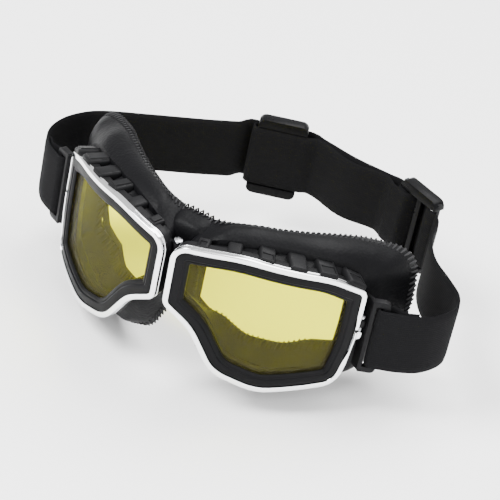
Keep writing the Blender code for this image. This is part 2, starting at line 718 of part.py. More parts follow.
def cushion_sections(side):
    """For each station round the cup: the cover's section and the face foam's section behind it."""
    outer = rim_outline(CUP_INSET)
    inner = rim_outline(CUP_INSET + CUP_WALL + 0.3 * MM)
    wide = rim_outline(0.6 * MM)
    seam = rounded_outline(SEAM_BASE, RIM_PLAN)
    eye = rounded_outline(EYE_BASE, RIM_PLAN)
    middle = Vector((side * CUSHION_HALF_WIDTH * 0.52, 0.0, -4.0 * MM))
    covers, foams = [], []
    for i, rim_point in enumerate(outer):
        away = smoothstep((rim_point.x - 6.0 * MM) / (12.0 * MM))
        depth = cup_depth(rim_point.x) + GAP
        front_outer = behind_rim(outer[i].lerp(wide[i], away), depth, side)
        front_inner = behind_rim(inner[i], depth, side)
        seam_point = face_point(seam[i], side)
        seam_point.y = max(seam_point.y, front_outer.y + 3.4 * MM)
        eye_point = face_point(eye[i], side)
        eye_point.y = max(eye_point.y + 1.5 * MM, front_inner.y + 5.0 * MM)
        outward = seam_point - middle
        outward.y = 0.0
        outward.normalize()
        chord = seam_point - front_outer
        swell = outward * chord.y - Vector((0.0, 1.0, 0.0)) * chord.dot(outward)
        bulge = swell.normalized() * CUSHION_BULGE * away
        near_front = front_outer.lerp(seam_point, 0.30) + bulge * 0.8
        near_seam = front_outer.lerp(seam_point, 0.74) + bulge
        near_seam.y -= 0.9 * MM * (1.0 - away)
        inside = eye_point - front_inner
        deep = WELL_NOSE_DEPTH + (WELL_DEPTH - WELL_NOSE_DEPTH) * smoothstep(rim_point.x / (26.0 * MM))
        inner_split = front_inner + Vector((inside.x * 0.2, inside.y * deep, inside.z * 0.8))
        covers.append([
            front_outer, near_front, near_seam, seam_point, inner_split, front_inner,
        ])
        back = Vector((0.0, 2 * GAP, 0.0))
        thick = Vector((0.0, FOAM_THICKNESS, 0.0))
        foams.append([
            seam_point.lerp(inner_split, 0.10) + back, seam_point.lerp(inner_split, 0.30) + thick,
            seam_point.lerp(inner_split, 0.78) + thick, seam_point.lerp(inner_split, 0.94) + back,
        ])
    return covers, foams


def make_saddle(name, material, body):
    """The leather over the nose, from the brow seam down to the nose cut-away, behind the hinge."""
    clear = HINGE_SETBACK + KNUCKLE_RADIUS + GAP
    narrow = RIM_GAP / 2 + 1.0 * MM
    stations = (
        (SADDLE_TOP, clear + 6.0 * MM, SADDLE_HALF_WIDTH), (HINGE_TOP + 2.0 * MM, clear + 4.0 * MM, 4.2 * MM),
        (HINGE_TOP - 3.0 * MM, clear + 1.0 * MM, narrow), (HINGE_BOTTOM, clear, narrow),
        (SADDLE_BOTTOM + 6.0 * MM, clear, 3.6 * MM), (SADDLE_BOTTOM, clear + 0.8 * MM, 4.4 * MM),
    )
    sections = []
    for z, y, half in stations:
        row = [(half * (k / 3 - 1), y + 0.5 * MM * (k / 3 - 1) ** 2) for k in range(7)]
        front = [Vector((x, depth, z)) for x, depth in row]
        rear = [Vector((x, depth + SADDLE_THICKNESS, z)) for x, depth in reversed(row)]
        sections.append(front + rear)
    return add_object(name, ring_bmesh(sections, closed=False), material, body)


# ---------------------------------------------------------------- strap

def smooth_curve(points, step):
    """A smooth plan curve through the points, with tangents from their neighbours, in even steps."""
    curve = []
    last = len(points) - 1
    for i in range(last):
        here, there = points[i], points[i + 1]
        span = (there - here).length
        tangents = []
        for j in (i, i + 1):
            before, after = points[max(j - 1, 0)], points[min(j + 1, last)]
            tangents.append((after - before).normalized() * span)
        pieces = max(2, round(span / step))
        for k in range(pieces):
            t = k / pieces
            curve.append(
                here * (2 * t**3 - 3 * t**2 + 1) + tangents[0] * (t**3 - 2 * t**2 + t)
                + there * (3 * t**2 - 2 * t**3) + tangents[1] * (t**3 - t**2)
            )
    curve.append(points[-1])
    return curve


class Route:
    """A plan curve that gives a point at a distance along it and an offset to its left."""

    def __init__(self, points):
        self.points = smooth_curve(points, ROUTE_STEP / 2)
        self.lengths = [0.0]
        for here, there in zip(self.points, self.points[1:]):
            self.lengths.append(self.lengths[-1] + (there - here).length)
        self.length = self.lengths[-1]

    def at(self, distance, offset=0.0):
        reach = 1.5 * MM
        along = (self.centre(distance + reach) - self.centre(distance - reach)).normalized()
        return self.centre(distance) + Vector((-along.y, along.x)) * offset

    def centre(self, distance):
        index = 0
        while index < len(self.points) - 2 and self.lengths[index + 1] < distance:
            index += 1
        here, there = self.points[index], self.points[index + 1]
        share = (distance - self.lengths[index]) / (self.lengths[index + 1] - self.lengths[index])
        return here.lerp(there, share)

    def nearest(self, place):
        """Distance along the route of its point nearest to a place."""
        best = min(range(len(self.points)), key=lambda i: (self.points[i] - place).length)
        return self.lengths[best]


def bar_clearance():
    """From a bracket bar's centre line to the middle of the webbing looped round it."""
    return BRACKET_THICKNESS / 2 + GAP + STRAP_THICKNESS / 2


def bracket_anchor(side):
    """Where the webbing's middle starts its run along the front of the bracket's outer bar."""
    start, outward, back = bracket_frame(side)
    place = start + outward * BRACKET_SLOT + back * (BRACKET_THICKNESS / 2 - bar_clearance())
    return place.to_2d(), outward.to_2d()


def slider_points(centre, angle, leaving):
    """Route points that keep the webbing straight through a slider, the last two at the given distances."""
    place = Vector(centre)
    along = Vector((math.cos(angle), math.sin(angle)))
    spacing = (-SLIDER_STRAIGHT - SLIDER_EASE, -SLIDER_STRAIGHT, 0.0, *leaving)
    return [place + along * distance for distance in spacing]


def strap_route():
    left, left_out = bracket_anchor(LEFT)
    right, right_out = bracket_anchor(RIGHT)
    bar = BRACKET_BAR
    points = [left, left + left_out * bar, left + left_out * (bar + 2.2 * MM)]
    points += [Vector(place) for place in STRAP_LEFT_ROUTE]
    gentle = (SLIDER_STRAIGHT, SLIDER_STRAIGHT + SLIDER_EASE)
    sharp = (SLIDER_STRAIGHT - SLIDER_EASE / 2, SLIDER_STRAIGHT + SLIDER_EASE / 8)
    points += slider_points(SLIDER_1_CENTRE, SLIDER_1_ANGLE, gentle)
    points += [Vector(place) for place in STRAP_BACK_ROUTE]
    points += slider_points(SLIDER_2_CENTRE, SLIDER_2_ANGLE, sharp)
    points += [Vector(place) for place in STRAP_RIGHT_ROUTE]
    points += [right + right_out * (bar + 2.2 * MM), right + right_out * bar, right]
    return Route(points)


def stepped(distance, stops):
    """A value that follows (distance, value) stops, easing between them."""
    if distance <= stops[0][0]:
        return stops[0][1]
    for (low, first), (high, second) in zip(stops, stops[1:]):
        if distance <= high:
            return first + (second - first) * smoothstep((distance - low) / (high - low))
    return stops[-1][1]


def span(low, high, step):
    pieces = max(1, math.ceil(abs(high - low) / step))
    return [low + (high - low) * k / pieces for k in range(pieces + 1)]


def bracket_loop(route, at_end):
    """The webbing's tail behind a bracket's outer bar and its turn round the bar, up to the front."""
    reach = bar_clearance()
    turn = FOLD_CENTRE
    doubled = STRAP_THICKNESS + GAP
    tail = []
    for distance in reversed(span(turn, STRAP_TAIL, 2.5 * MM)):
        apart = stepped(distance, ((BRACKET_BAR + 1.0 * MM, 2 * reach), (STRAP_TAIL * 0.75, doubled)))
        where = route.length - distance if at_end else distance
        tail.append(route.at(where, -apart))
    tail.pop()
    for angle in span(math.pi, 0.0, math.pi / 6):
        beyond = turn - reach * math.sin(angle)
        where = route.length - beyond if at_end else beyond
        tail.append(route.at(where, -reach + reach * math.cos(angle)))
    return tail


def slider_stations(route):
    first = route.nearest(Vector(SLIDER_1_CENTRE))
    second = route.nearest(Vector(SLIDER_2_CENTRE))
    return first, second


def layer_offsets():
    """Offsets of webbing that lies on a slider's bars, and of webbing that lies on that."""
    on_bar = SLIDER_BAR_DEPTH / 2 + GAP + STRAP_THICKNESS / 2
    on_layer = on_bar + GAP + STRAP_THICKNESS
    between = STRAP_THICKNESS / 2 + GAP
    return on_bar, on_layer, between


def make_strap_left(name, route, material, body):
    """From the left bracket round the back, outside the first slider, to the second slider's near bar."""
    first, second = slider_stations(route)
    on_bar, on_layer, between = layer_offsets()
    bar = SLIDER_LENGTH / 2
    stops = (
        (first - bar - 9.0 * MM, 0.0), (first - bar - 2.5 * MM, on_layer),
        (first + bar, on_layer), (first + bar + 8.0 * MM, between),
        (second - bar - 9.0 * MM, between), (second - bar - 1.5 * MM, on_bar),
    )
    path = bracket_loop(route, at_end=False)
    turn = second - bar + SLIDER_BAR - FOLD_CENTRE
    path += [
        route.at(distance, stepped(distance, stops))
        for distance in span(FOLD_CENTRE, turn, ROUTE_STEP)[1:-1]
    ]
    path += [
        route.at(turn + on_bar * math.sin(angle), on_bar * math.cos(angle))
        for angle in span(0.0, math.pi, math.pi / 6)
    ]
    path += [route.at(turn - 2.5 * MM, -on_bar)]
    return ribbon(name, path, material, body)


def make_strap_right(name, route, material, body):
    """From the right bracket, woven through the second slider, to a fold round the first one's far bar."""
    first, second = slider_stations(route)
    on_bar, on_layer, between = layer_offsets()
    bar = SLIDER_LENGTH / 2
    far_layer = -(on_layer + 0.1 * MM)
    stops = (
        (first + bar, -on_bar), (first + bar + 7.0 * MM, -between),
        (second - bar - 10.0 * MM, -between), (second - bar - 3.0 * MM, far_layer),
        (second - bar + SLIDER_BAR + 1.7 * MM, far_layer), (second - 1.6 * MM, on_bar),
        (second + 1.6 * MM, on_bar), (second + bar - SLIDER_BAR - 0.6 * MM, -on_bar),
        (second + bar + 1.0 * MM, -on_bar), (second + bar + 9.0 * MM, 0.0),
    )
    path = bracket_loop(route, at_end=True)
    turn = first - bar + FOLD_CENTRE
    near = second + bar + 10.0 * MM
    woven = span(near, second - bar - 11.0 * MM, 0.8 * MM)
    run = span(route.length - FOLD_CENTRE, near, ROUTE_STEP)[1:-1]
    run += woven + span(woven[-1], turn, ROUTE_STEP)[1:-1]
    path += [route.at(distance, stepped(distance, stops)) for distance in run]
    path += [
        route.at(turn - on_bar * math.sin(angle), -on_bar * math.cos(angle))
        for angle in span(0.0, math.pi, math.pi / 6)
    ]
    path += [route.at(turn + 4.0 * MM, on_bar)]
    return ribbon(name, path, material, body)


def ribbon(name, path, material, body):
    """Upright webbing of constant thickness along a plan path."""
    low, high = STRAP_TOP - STRAP_WIDTH, STRAP_TOP
    half = STRAP_THICKNESS / 2
    sections = []
    last = len(path) - 1
    for i, place in enumerate(path):
        entry = (place - path[max(i - 1, 0)]) if i else (path[1] - place)
        leave = (path[min(i + 1, last)] - place) if i < last else entry
        entry, leave = entry.normalized(), leave.normalized()
        normals = Vector((-entry.y, entry.x)), Vector((-leave.y, leave.x))
        across = (normals[0] + normals[1]) / (1.0 + normals[0].dot(normals[1])) * half
        sections.append([
            Vector((*(place + across), high)), Vector((*(place - across), high)),
            Vector((*(place - across), low)), Vector((*(place + across), low)),
        ])
    return add_object(name, ring_bmesh(sections, closed=False), material, body)


def make_slider(name, centre, angle, material, body):
    """A frame of two rails and three upright bars; the webbing runs between the rails."""
    along = Vector((math.cos(angle), math.sin(angle), 0.0))
    across = Vector((-math.sin(angle), math.cos(angle), 0.0))
    up = Vector((0.0, 0.0, 1.0))
    axes = (along, across, up)
    opening = STRAP_WIDTH + 1.2 * MM
    middle = Vector((centre[0], centre[1], STRAP_TOP - STRAP_WIDTH / 2))
    height = opening + 2 * SLIDER_RAIL_HEIGHT
    plate = box_bmesh(middle, axes, (SLIDER_LENGTH - 0.4 * MM, SLIDER_BAR_DEPTH, height - 2.0 * MM))
    slider = add_object(name, plate, material, body)
    rails = []
    for sign in (1, -1):
        rail_middle = middle + up * sign * (opening + SLIDER_RAIL_HEIGHT) / 2
        size = (SLIDER_LENGTH, SLIDER_RAIL_DEPTH, SLIDER_RAIL_HEIGHT)
        rail = box_bmesh(rail_middle, axes, size)
        corners = [
            edge for edge in rail.edges
            if abs((edge.verts[1].co - edge.verts[0].co).normalized().dot(across)) > 0.9
            and ((edge.verts[0].co - rail_middle).dot(up) * sign) > 0
        ]
        bmesh.ops.bevel(rail, geom=corners, offset=3.0 * MM, offset_type="OFFSET", segments=4,
                        profile=0.5, affect="EDGES", material=-1)
        rails.append(rail)
    combine(slider, rails, "UNION")
    slot = (SLIDER_LENGTH - 3 * SLIDER_BAR) / 2
    slots = [
        box_bmesh(middle + along * sign * (SLIDER_BAR + slot) / 2, axes,
                  (slot, SLIDER_RAIL_DEPTH * 2, opening))
        for sign in (1, -1)
    ]
    combine(slider, slots, "DIFFERENCE")
    return slider


# ---------------------------------------------------------------- the whole model

def put_on_origin():
    """Moves the model so that the bottom centre of its bounding box is the world's origin."""
    bpy.context.view_layer.update()
    corners = []
    for obj in bpy.data.objects:
        if obj.type == "MESH":
            corners.extend(obj.matrix_world @ vert.co for vert in obj.data.vertices)
    low = Vector([min(corner[axis] for corner in corners) for axis in range(3)])
    high = Vector([max(corner[axis] for corner in corners) for axis in range(3)])
    shift = Vector(((low.x + high.x) / 2, (low.y + high.y) / 2, low.z))
    for obj in bpy.data.objects:
        if obj.parent is None:
            obj.location -= shift
    bpy.context.view_layer.update()


def build():
    clear_scene()
    chrome = make_material("chrome", (0.82, 0.83, 0.84), 0.08, metallic=1.0)
    steel = make_material("steel", (0.55, 0.56, 0.58), 0.3, metallic=1.0)
    moulding = make_material("moulding", (0.025, 0.025, 0.027), 0.45)
    bezel = make_material("bezel", (0.045, 0.045, 0.05), 0.5)
    yellow = make_material("lens", (0.93, 0.90, 0.25), 0.03, transmission=0.9)
    leather = make_material("leather", (0.03, 0.03, 0.032), 0.5)
    foam = make_material("foam", (0.02, 0.02, 0.02), 0.95)
    webbing = make_material("webbing", (0.015, 0.015, 0.016), 0.9)
    slider_plastic = make_material("slider_plastic", (0.04, 0.04, 0.042), 0.4)

    slider_z = STRAP_TOP - STRAP_WIDTH / 2
    left_half = make_body("left_half")
    right_half = make_body("right_half", (0.0, HINGE_SETBACK, 0.0))
    slider_left = make_body("strap_slider_left", (*SLIDER_1_CENTRE, slider_z), left_half)
    slider_right = make_body("strap_slider_right", (*SLIDER_2_CENTRE, slider_z), right_half)

    for side, word, body in ((LEFT, "left", left_half), (RIGHT, "right", right_half)):
        screw_body = make_body(f"closure_{word}", (*screw_axis(side), SPLIT_HEIGHT), body)
        make_cup(f"cup_frame_{word}", side, moulding, body)
        make_rim(f"chrome_rim_{word}", side, chrome, body)
        make_rim_screw(f"rim_screw_{word}", side, steel, screw_body)
        make_bezel(f"lens_bezel_{word}", side, bezel, body)
        make_lens(f"lens_{word}", side, yellow, body)
        covers, foams = cushion_sections(side)
        add_object(f"cushion_cover_{word}", ring_bmesh(covers), leather, body)
        add_object(f"face_foam_{word}", ring_bmesh(foams), foam, body)

    make_hinge_pin("bridge_hinge_pin", steel, left_half)
    make_saddle("nose_saddle", leather, left_half)
    route = strap_route()
    make_strap_left("strap_left", route, webbing, left_half)
    make_strap_right("strap_right", route, webbing, right_half)
    make_slider("slider_left", SLIDER_1_CENTRE, SLIDER_1_ANGLE, slider_plastic, slider_left)
    make_slider("slider_right", SLIDER_2_CENTRE, SLIDER_2_ANGLE, slider_plastic, slider_right)
    put_on_origin()


build()
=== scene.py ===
# %% [markdown]
# # Motorcycle goggles: dressing a working model
# The moving model is already built: two cups hinged at the nose, chrome rims with a screw closure, lenses,
# a face cushion, and a webbing strap in two lengths joined by two sliders. It arrives as a fixed frame, and
# this script gives it its looks: rounded metal edges, sewn leather, woven elastic, tinted lenses.
# Small parts whose shape is right keep it and only get softer edges. The soft parts and the bright parts
# are drawn again with more care, round the same outlines.

import math

import bmesh
import bpy
from mathutils import Matrix, Vector, noise


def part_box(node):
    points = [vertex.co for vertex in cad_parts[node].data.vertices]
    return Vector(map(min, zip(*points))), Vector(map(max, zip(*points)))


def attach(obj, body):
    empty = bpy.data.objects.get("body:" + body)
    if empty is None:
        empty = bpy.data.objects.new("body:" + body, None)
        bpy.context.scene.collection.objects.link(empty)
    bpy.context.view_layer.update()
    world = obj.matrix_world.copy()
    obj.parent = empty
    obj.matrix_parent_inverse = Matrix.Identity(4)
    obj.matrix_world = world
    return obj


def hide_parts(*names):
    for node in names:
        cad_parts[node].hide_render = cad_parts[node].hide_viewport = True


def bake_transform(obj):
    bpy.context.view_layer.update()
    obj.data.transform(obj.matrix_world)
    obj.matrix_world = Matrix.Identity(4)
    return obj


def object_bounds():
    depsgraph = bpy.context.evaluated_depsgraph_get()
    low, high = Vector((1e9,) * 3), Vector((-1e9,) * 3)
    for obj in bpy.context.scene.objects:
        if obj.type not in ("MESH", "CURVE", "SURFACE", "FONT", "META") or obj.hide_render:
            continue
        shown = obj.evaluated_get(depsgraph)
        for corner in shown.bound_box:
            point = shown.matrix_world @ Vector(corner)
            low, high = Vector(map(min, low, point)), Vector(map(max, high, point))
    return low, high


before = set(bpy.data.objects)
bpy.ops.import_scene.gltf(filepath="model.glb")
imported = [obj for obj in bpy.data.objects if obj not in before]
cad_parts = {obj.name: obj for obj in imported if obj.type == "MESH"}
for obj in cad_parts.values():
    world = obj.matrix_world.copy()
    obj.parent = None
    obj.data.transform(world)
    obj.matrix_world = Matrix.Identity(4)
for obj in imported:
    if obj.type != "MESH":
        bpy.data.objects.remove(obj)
cad_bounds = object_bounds()
MM = 0.001
LEFT, RIGHT = -1, 1
SIDES = ((LEFT, "left"), (RIGHT, "right"))
UP = Vector((0.0, 0.0, 1.0))
print("nodes:", ", ".join(sorted(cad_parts)))


def mm(*lengths):
    """Millimetres as the frame's metres."""
    return tuple(length * MM for length in lengths)


def shown(name, data):
    """An object with this data, in the scene."""
    obj = bpy.data.objects.new(name, data)
    bpy.context.scene.collection.objects.link(obj)
    return obj


# %% [markdown]
# ## A corner to measure from
# Everything is drawn from one point on the bridge: sideways the middle of the hinge pin, in depth the nose
# end of the rims, and in height a known distance below the pin's head. Reading that point from the model
# means that nothing has to be fitted by eye.

# %% The corner
PIN_HEAD_TOP = 22.3 * MM           # the top of the hinge pin over the corner
pin_low, pin_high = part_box("bridge_hinge_pin")
rim_low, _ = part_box("chrome_rim_right")
CORNER = Vector(((pin_low.x + pin_high.x) / 2, rim_low.y, pin_high.z - PIN_HEAD_TOP))
print("corner at", [round(c / MM, 2) for c in CORNER])


def placed(x, y, z):
    """A point given in millimetres from the corner, in the frame's coordinates."""
    return CORNER + Vector((x, y, z)) * MM


# %% [markdown]
# ## Camera, floor and light
# Goggles are shown from the front and above, turned a little, with the strap behind. A long lens keeps the
# strap from looking small. Three large soft lights and a pale room give the chrome something to reflect.

# %% The camera
AIM = placed(22.94, 26.93, 19.03)
DISTANCE = 912.3 * MM
TURN, RISE, ROLL = 0.38806, 0.61594, 0.21703
FOCAL, SENSOR, NEAREST = 166.69, 36.0, 0.05

back = Vector((math.sin(TURN) * math.cos(RISE), -math.cos(TURN) * math.cos(RISE), math.sin(RISE)))
level = Vector((math.cos(TURN), math.sin(TURN), 0.0))
upright = back.cross(level)
if upright.z < 0:
    upright = -upright
across = level * math.cos(ROLL) + upright * math.sin(ROLL)
upwards = -level * math.sin(ROLL) + upright * math.cos(ROLL)
camera_data = bpy.data.cameras.new("camera")
camera_data.lens = FOCAL
camera_data.sensor_width = SENSOR
camera_data.clip_start = NEAREST
camera = shown("camera", camera_data)
turned = Matrix((across, upwards, back)).transposed().to_4x4()
camera.matrix_world = Matrix.Translation(AIM + back * DISTANCE) @ turned
bpy.context.scene.camera = camera
print("camera", [round(c, 3) for c in camera.location])


# %% [markdown]
# ## Materials
# Every finish here is a Principled shader with its detail worked out from the object's own coordinates, so
# it stays in place from any side. The helpers make what all of them need: a shader with plain values on its
# sockets, and a chain of height textures that ends in a Bump node.

# %% Material helpers
def finish(name, colour, roughness, **sockets):
    """A Principled material; other sockets are named with _ for each space."""
    material = bpy.data.materials.new(name)
    material.use_nodes = True
    shader = material.node_tree.nodes["Principled BSDF"]
    shader.inputs["Base Color"].default_value = (*colour, 1.0)
    shader.inputs["Roughness"].default_value = roughness
    for socket, value in sockets.items():
        shader.inputs[socket.replace("_", " ")].default_value = value
    return material


def node(material, kind, **values):
    """A node with its settings; a value named as an input socket goes to that socket."""
    made = material.node_tree.nodes.new(kind)
    for key, value in values.items():
        if key in made.inputs:
            made.inputs[key].default_value = value
        else:
            setattr(made, key, value)
    return made


def link(material, source, target):
    material.node_tree.links.new(source, target)


def coordinates(material, output="Object", scale=(1.0, 1.0, 1.0)):
    """The object's own coordinates, or its UV map, stretched."""
    texture = node(material, "ShaderNodeTexCoord")
    mapping = node(material, "ShaderNodeMapping", Scale=scale)
    link(material, texture.outputs[output], mapping.inputs["Vector"])
    return mapping.outputs["Vector"]


def bump(material, height, strength, depth, normal=None):
    """Adds a height to the surface; several can follow each other."""
    made = node(material, "ShaderNodeBump", Strength=strength, Distance=depth)
    link(material, height, made.inputs["Height"])
    if normal is not None:
        link(material, normal, made.inputs["Normal"])
    shader = material.node_tree.nodes["Principled BSDF"]
    link(material, made.outputs["Normal"], shader.inputs["Normal"])
    return made.outputs["Normal"]


def speckle(material, where, scale, detail=3.0):
    texture = node(material, "ShaderNodeTexNoise", Scale=scale, Detail=detail)
    link(material, where, texture.inputs["Vector"])
    return texture.outputs["Fac"]


def spread(material, value, low, high):
    """Maps the middle of a 0..1 value to a range of roughness."""
    made = node(material, "ShaderNodeMapRange")
    for key, number in (("From Min", 0.3), ("From Max", 0.7), ("To Min", low), ("To Max", high)):
        made.inputs[key].default_value = number
    link(material, value, made.inputs["Value"])
    shader = material.node_tree.nodes["Principled BSDF"]
    link(material, made.outputs["Result"], shader.inputs["Roughness"])


# %% [markdown]
# **Chrome** is almost a mirror. Real plating is never even: a faint cloudiness in the roughness, finer than
# a fingertip, keeps the highlights from looking computed. **Steel** for pin and screws is duller.

# %% Chrome and steel
chrome = finish("chrome plate", (0.90, 0.91, 0.92), 0.07, Metallic=1.0)
spread(chrome, speckle(chrome, coordinates(chrome), 180.0), 0.04, 0.12)
steel = finish("turned steel", (0.56, 0.57, 0.59), 0.28, Metallic=1.0)
turning = speckle(steel, coordinates(steel, scale=(1.0, 1.0, 9.0)), 900.0, 2.0)
spread(steel, turning, 0.18, 0.38)
bump(steel, turning, 0.15, 0.02 * MM)

# %% [markdown]
# **Moulded plastic.** The cups come from a sparked mould, which leaves a fine matt grain. The lens bezel and
# the sliders are smoother, and their edges catch the light.

# %% Plastics
def plastic(name, colour, roughness, specular, cloud, grain, height):
    """Moulded black: cloud is (scale, low, high) of its sheen; grain, height are its fine texture."""
    material = finish(name, colour, roughness, Specular_IOR_Level=specular)
    spread(material, speckle(material, coordinates(material), cloud[0]), cloud[1], cloud[2])
    bump(material, speckle(material, coordinates(material), *grain), *height)
    return material


moulding = plastic("moulded cup plastic", (0.006, 0.006, 0.0065), 0.46, 0.07,
                   (120.0, 0.34, 0.50), (2600.0, 2.0), (0.25, 0.03 * MM))
bezel_black = plastic("bezel plastic", (0.004, 0.004, 0.0045), 0.40, 0.05,
                      (150.0, 0.30, 0.44), (3200.0, 1.0), (0.12, 0.02 * MM))
slider_black = plastic("slider plastic", (0.004, 0.004, 0.0045), 0.36, 0.05,
                       (140.0, 0.24, 0.40), (1500.0, 2.0), (0.10, 0.03 * MM))

# %% [markdown]
# **Lens.** Tinted polycarbonate multiplies what lies behind it by yellow, and its own surface adds a little
# haze. A light passes two surfaces, so each one takes half of the tint: a coloured see-through shader with a
# small share of gloss mixed in.

# %% Lens tint
def tinted(name, tint, haze, share):
    """See-through material that colours what is behind it; share is how much of the surface is haze."""
    material = finish(name, haze, 0.03, IOR=1.58)
    clear = node(material, "ShaderNodeBsdfTransparent", Color=(*tint, 1.0))
    mixed = node(material, "ShaderNodeMixShader", Fac=share)
    link(material, clear.outputs["BSDF"], mixed.inputs[1])
    link(material, material.node_tree.nodes["Principled BSDF"].outputs["BSDF"], mixed.inputs[2])
    link(material, mixed.outputs["Shader"], material.node_tree.nodes["Material Output"].inputs["Surface"])
    return material


lens_tint = tinted("yellow lens", (1.0, 0.99, 0.06), (0.17, 0.155, 0.10), 0.07)

# %% [markdown]
# **Leather** has pebbles of about a millimetre, split by fine creases, over a slow unevenness of the hide.
# A Voronoi pattern makes the pebbles, and noise breaks them up. The rubbed high spots shine a little more.

# %% Leather and thread
leather = finish("black leather", (0.0030, 0.0030, 0.0035), 0.44, Specular_IOR_Level=0.06)
hide = coordinates(leather)
pebbles = node(leather, "ShaderNodeTexVoronoi", feature="SMOOTH_F1", Scale=900.0)
pebbles.inputs["Smoothness"].default_value = 0.5
link(leather, hide, pebbles.inputs["Vector"])
first_bump = bump(leather, pebbles.outputs["Distance"], 0.5, 0.15 * MM)
bump(leather, speckle(leather, hide, 260.0, 4.0), 0.35, 0.25 * MM, first_bump)
spread(leather, speckle(leather, hide, 60.0), 0.38, 0.54)
thread = finish("bonded thread", (0.018, 0.018, 0.019), 0.6, Specular_IOR_Level=0.10)
bump(thread, speckle(thread, coordinates(thread), 2400.0, 2.0), 0.5, 0.08 * MM)
foam = finish("open-cell foam", (0.010, 0.010, 0.010), 0.95, Specular_IOR_Level=0.05)
cells = node(foam, "ShaderNodeTexVoronoi", Scale=1300.0)
link(foam, coordinates(foam), cells.inputs["Vector"])
bump(foam, cells.outputs["Distance"], 0.8, 0.3 * MM)

# %% [markdown]
# **Woven elastic.** Rubber strands run the length of the strap, so it has fine ribs along it and a much
# finer weave across. The pattern follows the strap through its UV map, which is its real length and width.

# %% Webbing
webbing = finish("woven elastic", (0.005, 0.005, 0.0055), 0.9, Specular_IOR_Level=0.06)
along_strap = coordinates(webbing, "UV")
ribs = node(webbing, "ShaderNodeTexWave", bands_direction="Y", Scale=300.0, Distortion=0.6)
link(webbing, along_strap, ribs.inputs["Vector"])
weave = node(webbing, "ShaderNodeTexWave", bands_direction="X", Scale=420.0, Distortion=0.8)
link(webbing, along_strap, weave.inputs["Vector"])
rib_bump = bump(webbing, ribs.outputs["Fac"], 0.55, 0.12 * MM)
weave_bump = bump(webbing, weave.outputs["Fac"], 0.35, 0.08 * MM, rib_bump)
bump(webbing, speckle(webbing, along_strap, 3500.0, 2.0), 0.35, 0.08 * MM, weave_bump)

# %% [markdown]
# ## Outlines to work from
# Rim, seam and eye opening are drawn flat, as corners with a rounding radius each. Every outline is divided
# the same way, so that a point on the rim has a partner on the seam, and a skin can be drawn between them.
# The lens surface is an upright cylinder; wrapping bends the flat outline onto it.

# %% Sizes
RIM_WIDTH, RIM_HEIGHT, RIM_DROP = mm(82.0, 65.2, 37.2)
RIM_GAP = 3.6 * MM
WRAP_RADIUS, WRAP_CENTRE, HALF_YAW = 113.0 * MM, 40.0 * MM, math.radians(31.0)
GAP = 0.3 * MM
RIM_FACE, RIM_WALL, RIM_DEPTH, RIM_HOOK = mm(2.3, 0.9, 6.4, 2.4)
RIM_BAND = 2.9 * MM                # depth of the plated band; behind it the channel is painted black
RIM_NARROW = 1.4 * MM              # width of the rim's face beside the closure
SPLIT_HEIGHT, SPLIT_GAP = mm(-5.5, 1.6)
BEZEL_OPENING = 7.9 * MM
LENS_FRONT, LENS_BACK = mm(2.4, 3.7)
LENS_EDGE = 4.3 * MM
CUP_INSET, CUP_WALL = mm(2.8, 2.1)
CUP_DEPTH, CUP_NOSE_DEPTH, CUP_TEMPLE_DEPTH = mm(6.8, 2.9, 4.0)
CUP_FLARE, CUP_RISE = 0.35, 0.25
CUSHION_HALF_WIDTH, CUSHION_HEIGHT, CUSHION_DROP = mm(78.0, 75.5, 46.5)
FACE_NOSE_SETBACK, FACE_TEMPLE_SETBACK, FACE_BEND = 22.5 * MM, 77.0 * MM, 1.2
CUSHION_BULGE = 3.0 * MM
FOAM_THICKNESS = 5.5 * MM
STRAP_WIDTH, STRAP_TOP, STRAP_THICKNESS = mm(29.2, 6.6, 1.3)
ARC_STEP, STRETCH_STEP, LEAST_RADIUS = math.radians(7.0), 2.6 * MM, 1.2 * MM

RIM_CORNERS = (
    (0.000, 0.963, 7.5), (0.341, 1.000, 60.0), (0.805, 0.905, 40.0), (1.000, 0.788, 5.5),
    (1.003, 0.371, 80.0), (0.946, 0.072, 9.0), (0.537, 0.000, 25.0), (0.293, 0.103, 18.0),
    (0.152, 0.394, 22.0), (0.002, 0.518, 5.0),
)
SEAM_CORNERS = (
    (0.075, 0.990, 2.0), (0.330, 0.985, 40.0), (0.680, 0.920, 40.0), (0.955, 0.825, 13.0),
    (1.000, 0.480, 50.0), (0.880, 0.130, 18.0), (0.620, 0.000, 25.0), (0.320, 0.045, 20.0),
    (0.140, 0.150, 12.0), (0.075, 0.310, 2.0),
)
EYE_CORNERS = (
    (0.200, 0.815, 8.0), (0.360, 0.845, 30.0), (0.680, 0.800, 30.0), (0.820, 0.710, 10.0),
    (0.830, 0.500, 40.0), (0.760, 0.285, 10.0), (0.560, 0.240, 25.0), (0.400, 0.285, 14.0),
    (0.270, 0.415, 20.0), (0.175, 0.520, 6.0),
)


# %% [markdown]
# The **outline functions** turn corners into matching rings of points. Insetting moves every edge in before
# the corners are rounded. The last few put a flat point on the lens, behind the rim, or on the face.

# %% Outline functions
def corner_points(corners, width, height, drop):
    return [(Vector((u * width, v * height - drop)), radius * MM) for u, v, radius in corners]


def turn_at(before, corner, after):
    """Signed turn of the outline at a corner; clockwise is positive."""
    entry, leave = corner - before, after - corner
    return -math.atan2(entry.x * leave.y - entry.y * leave.x, entry.dot(leave))


def outline_plan(corners):
    """How many arc pieces each corner gets, and how many the straight stretch after it."""
    plan = []
    for i, (corner, _) in enumerate(corners):
        before, after = corners[i - 1][0], corners[(i + 1) % len(corners)][0]
        arcs = max(3, math.ceil(abs(turn_at(before, corner, after)) / ARC_STEP))
        plan.append((arcs, max(1, round((after - corner).length / STRETCH_STEP) - 2)))
    return plan


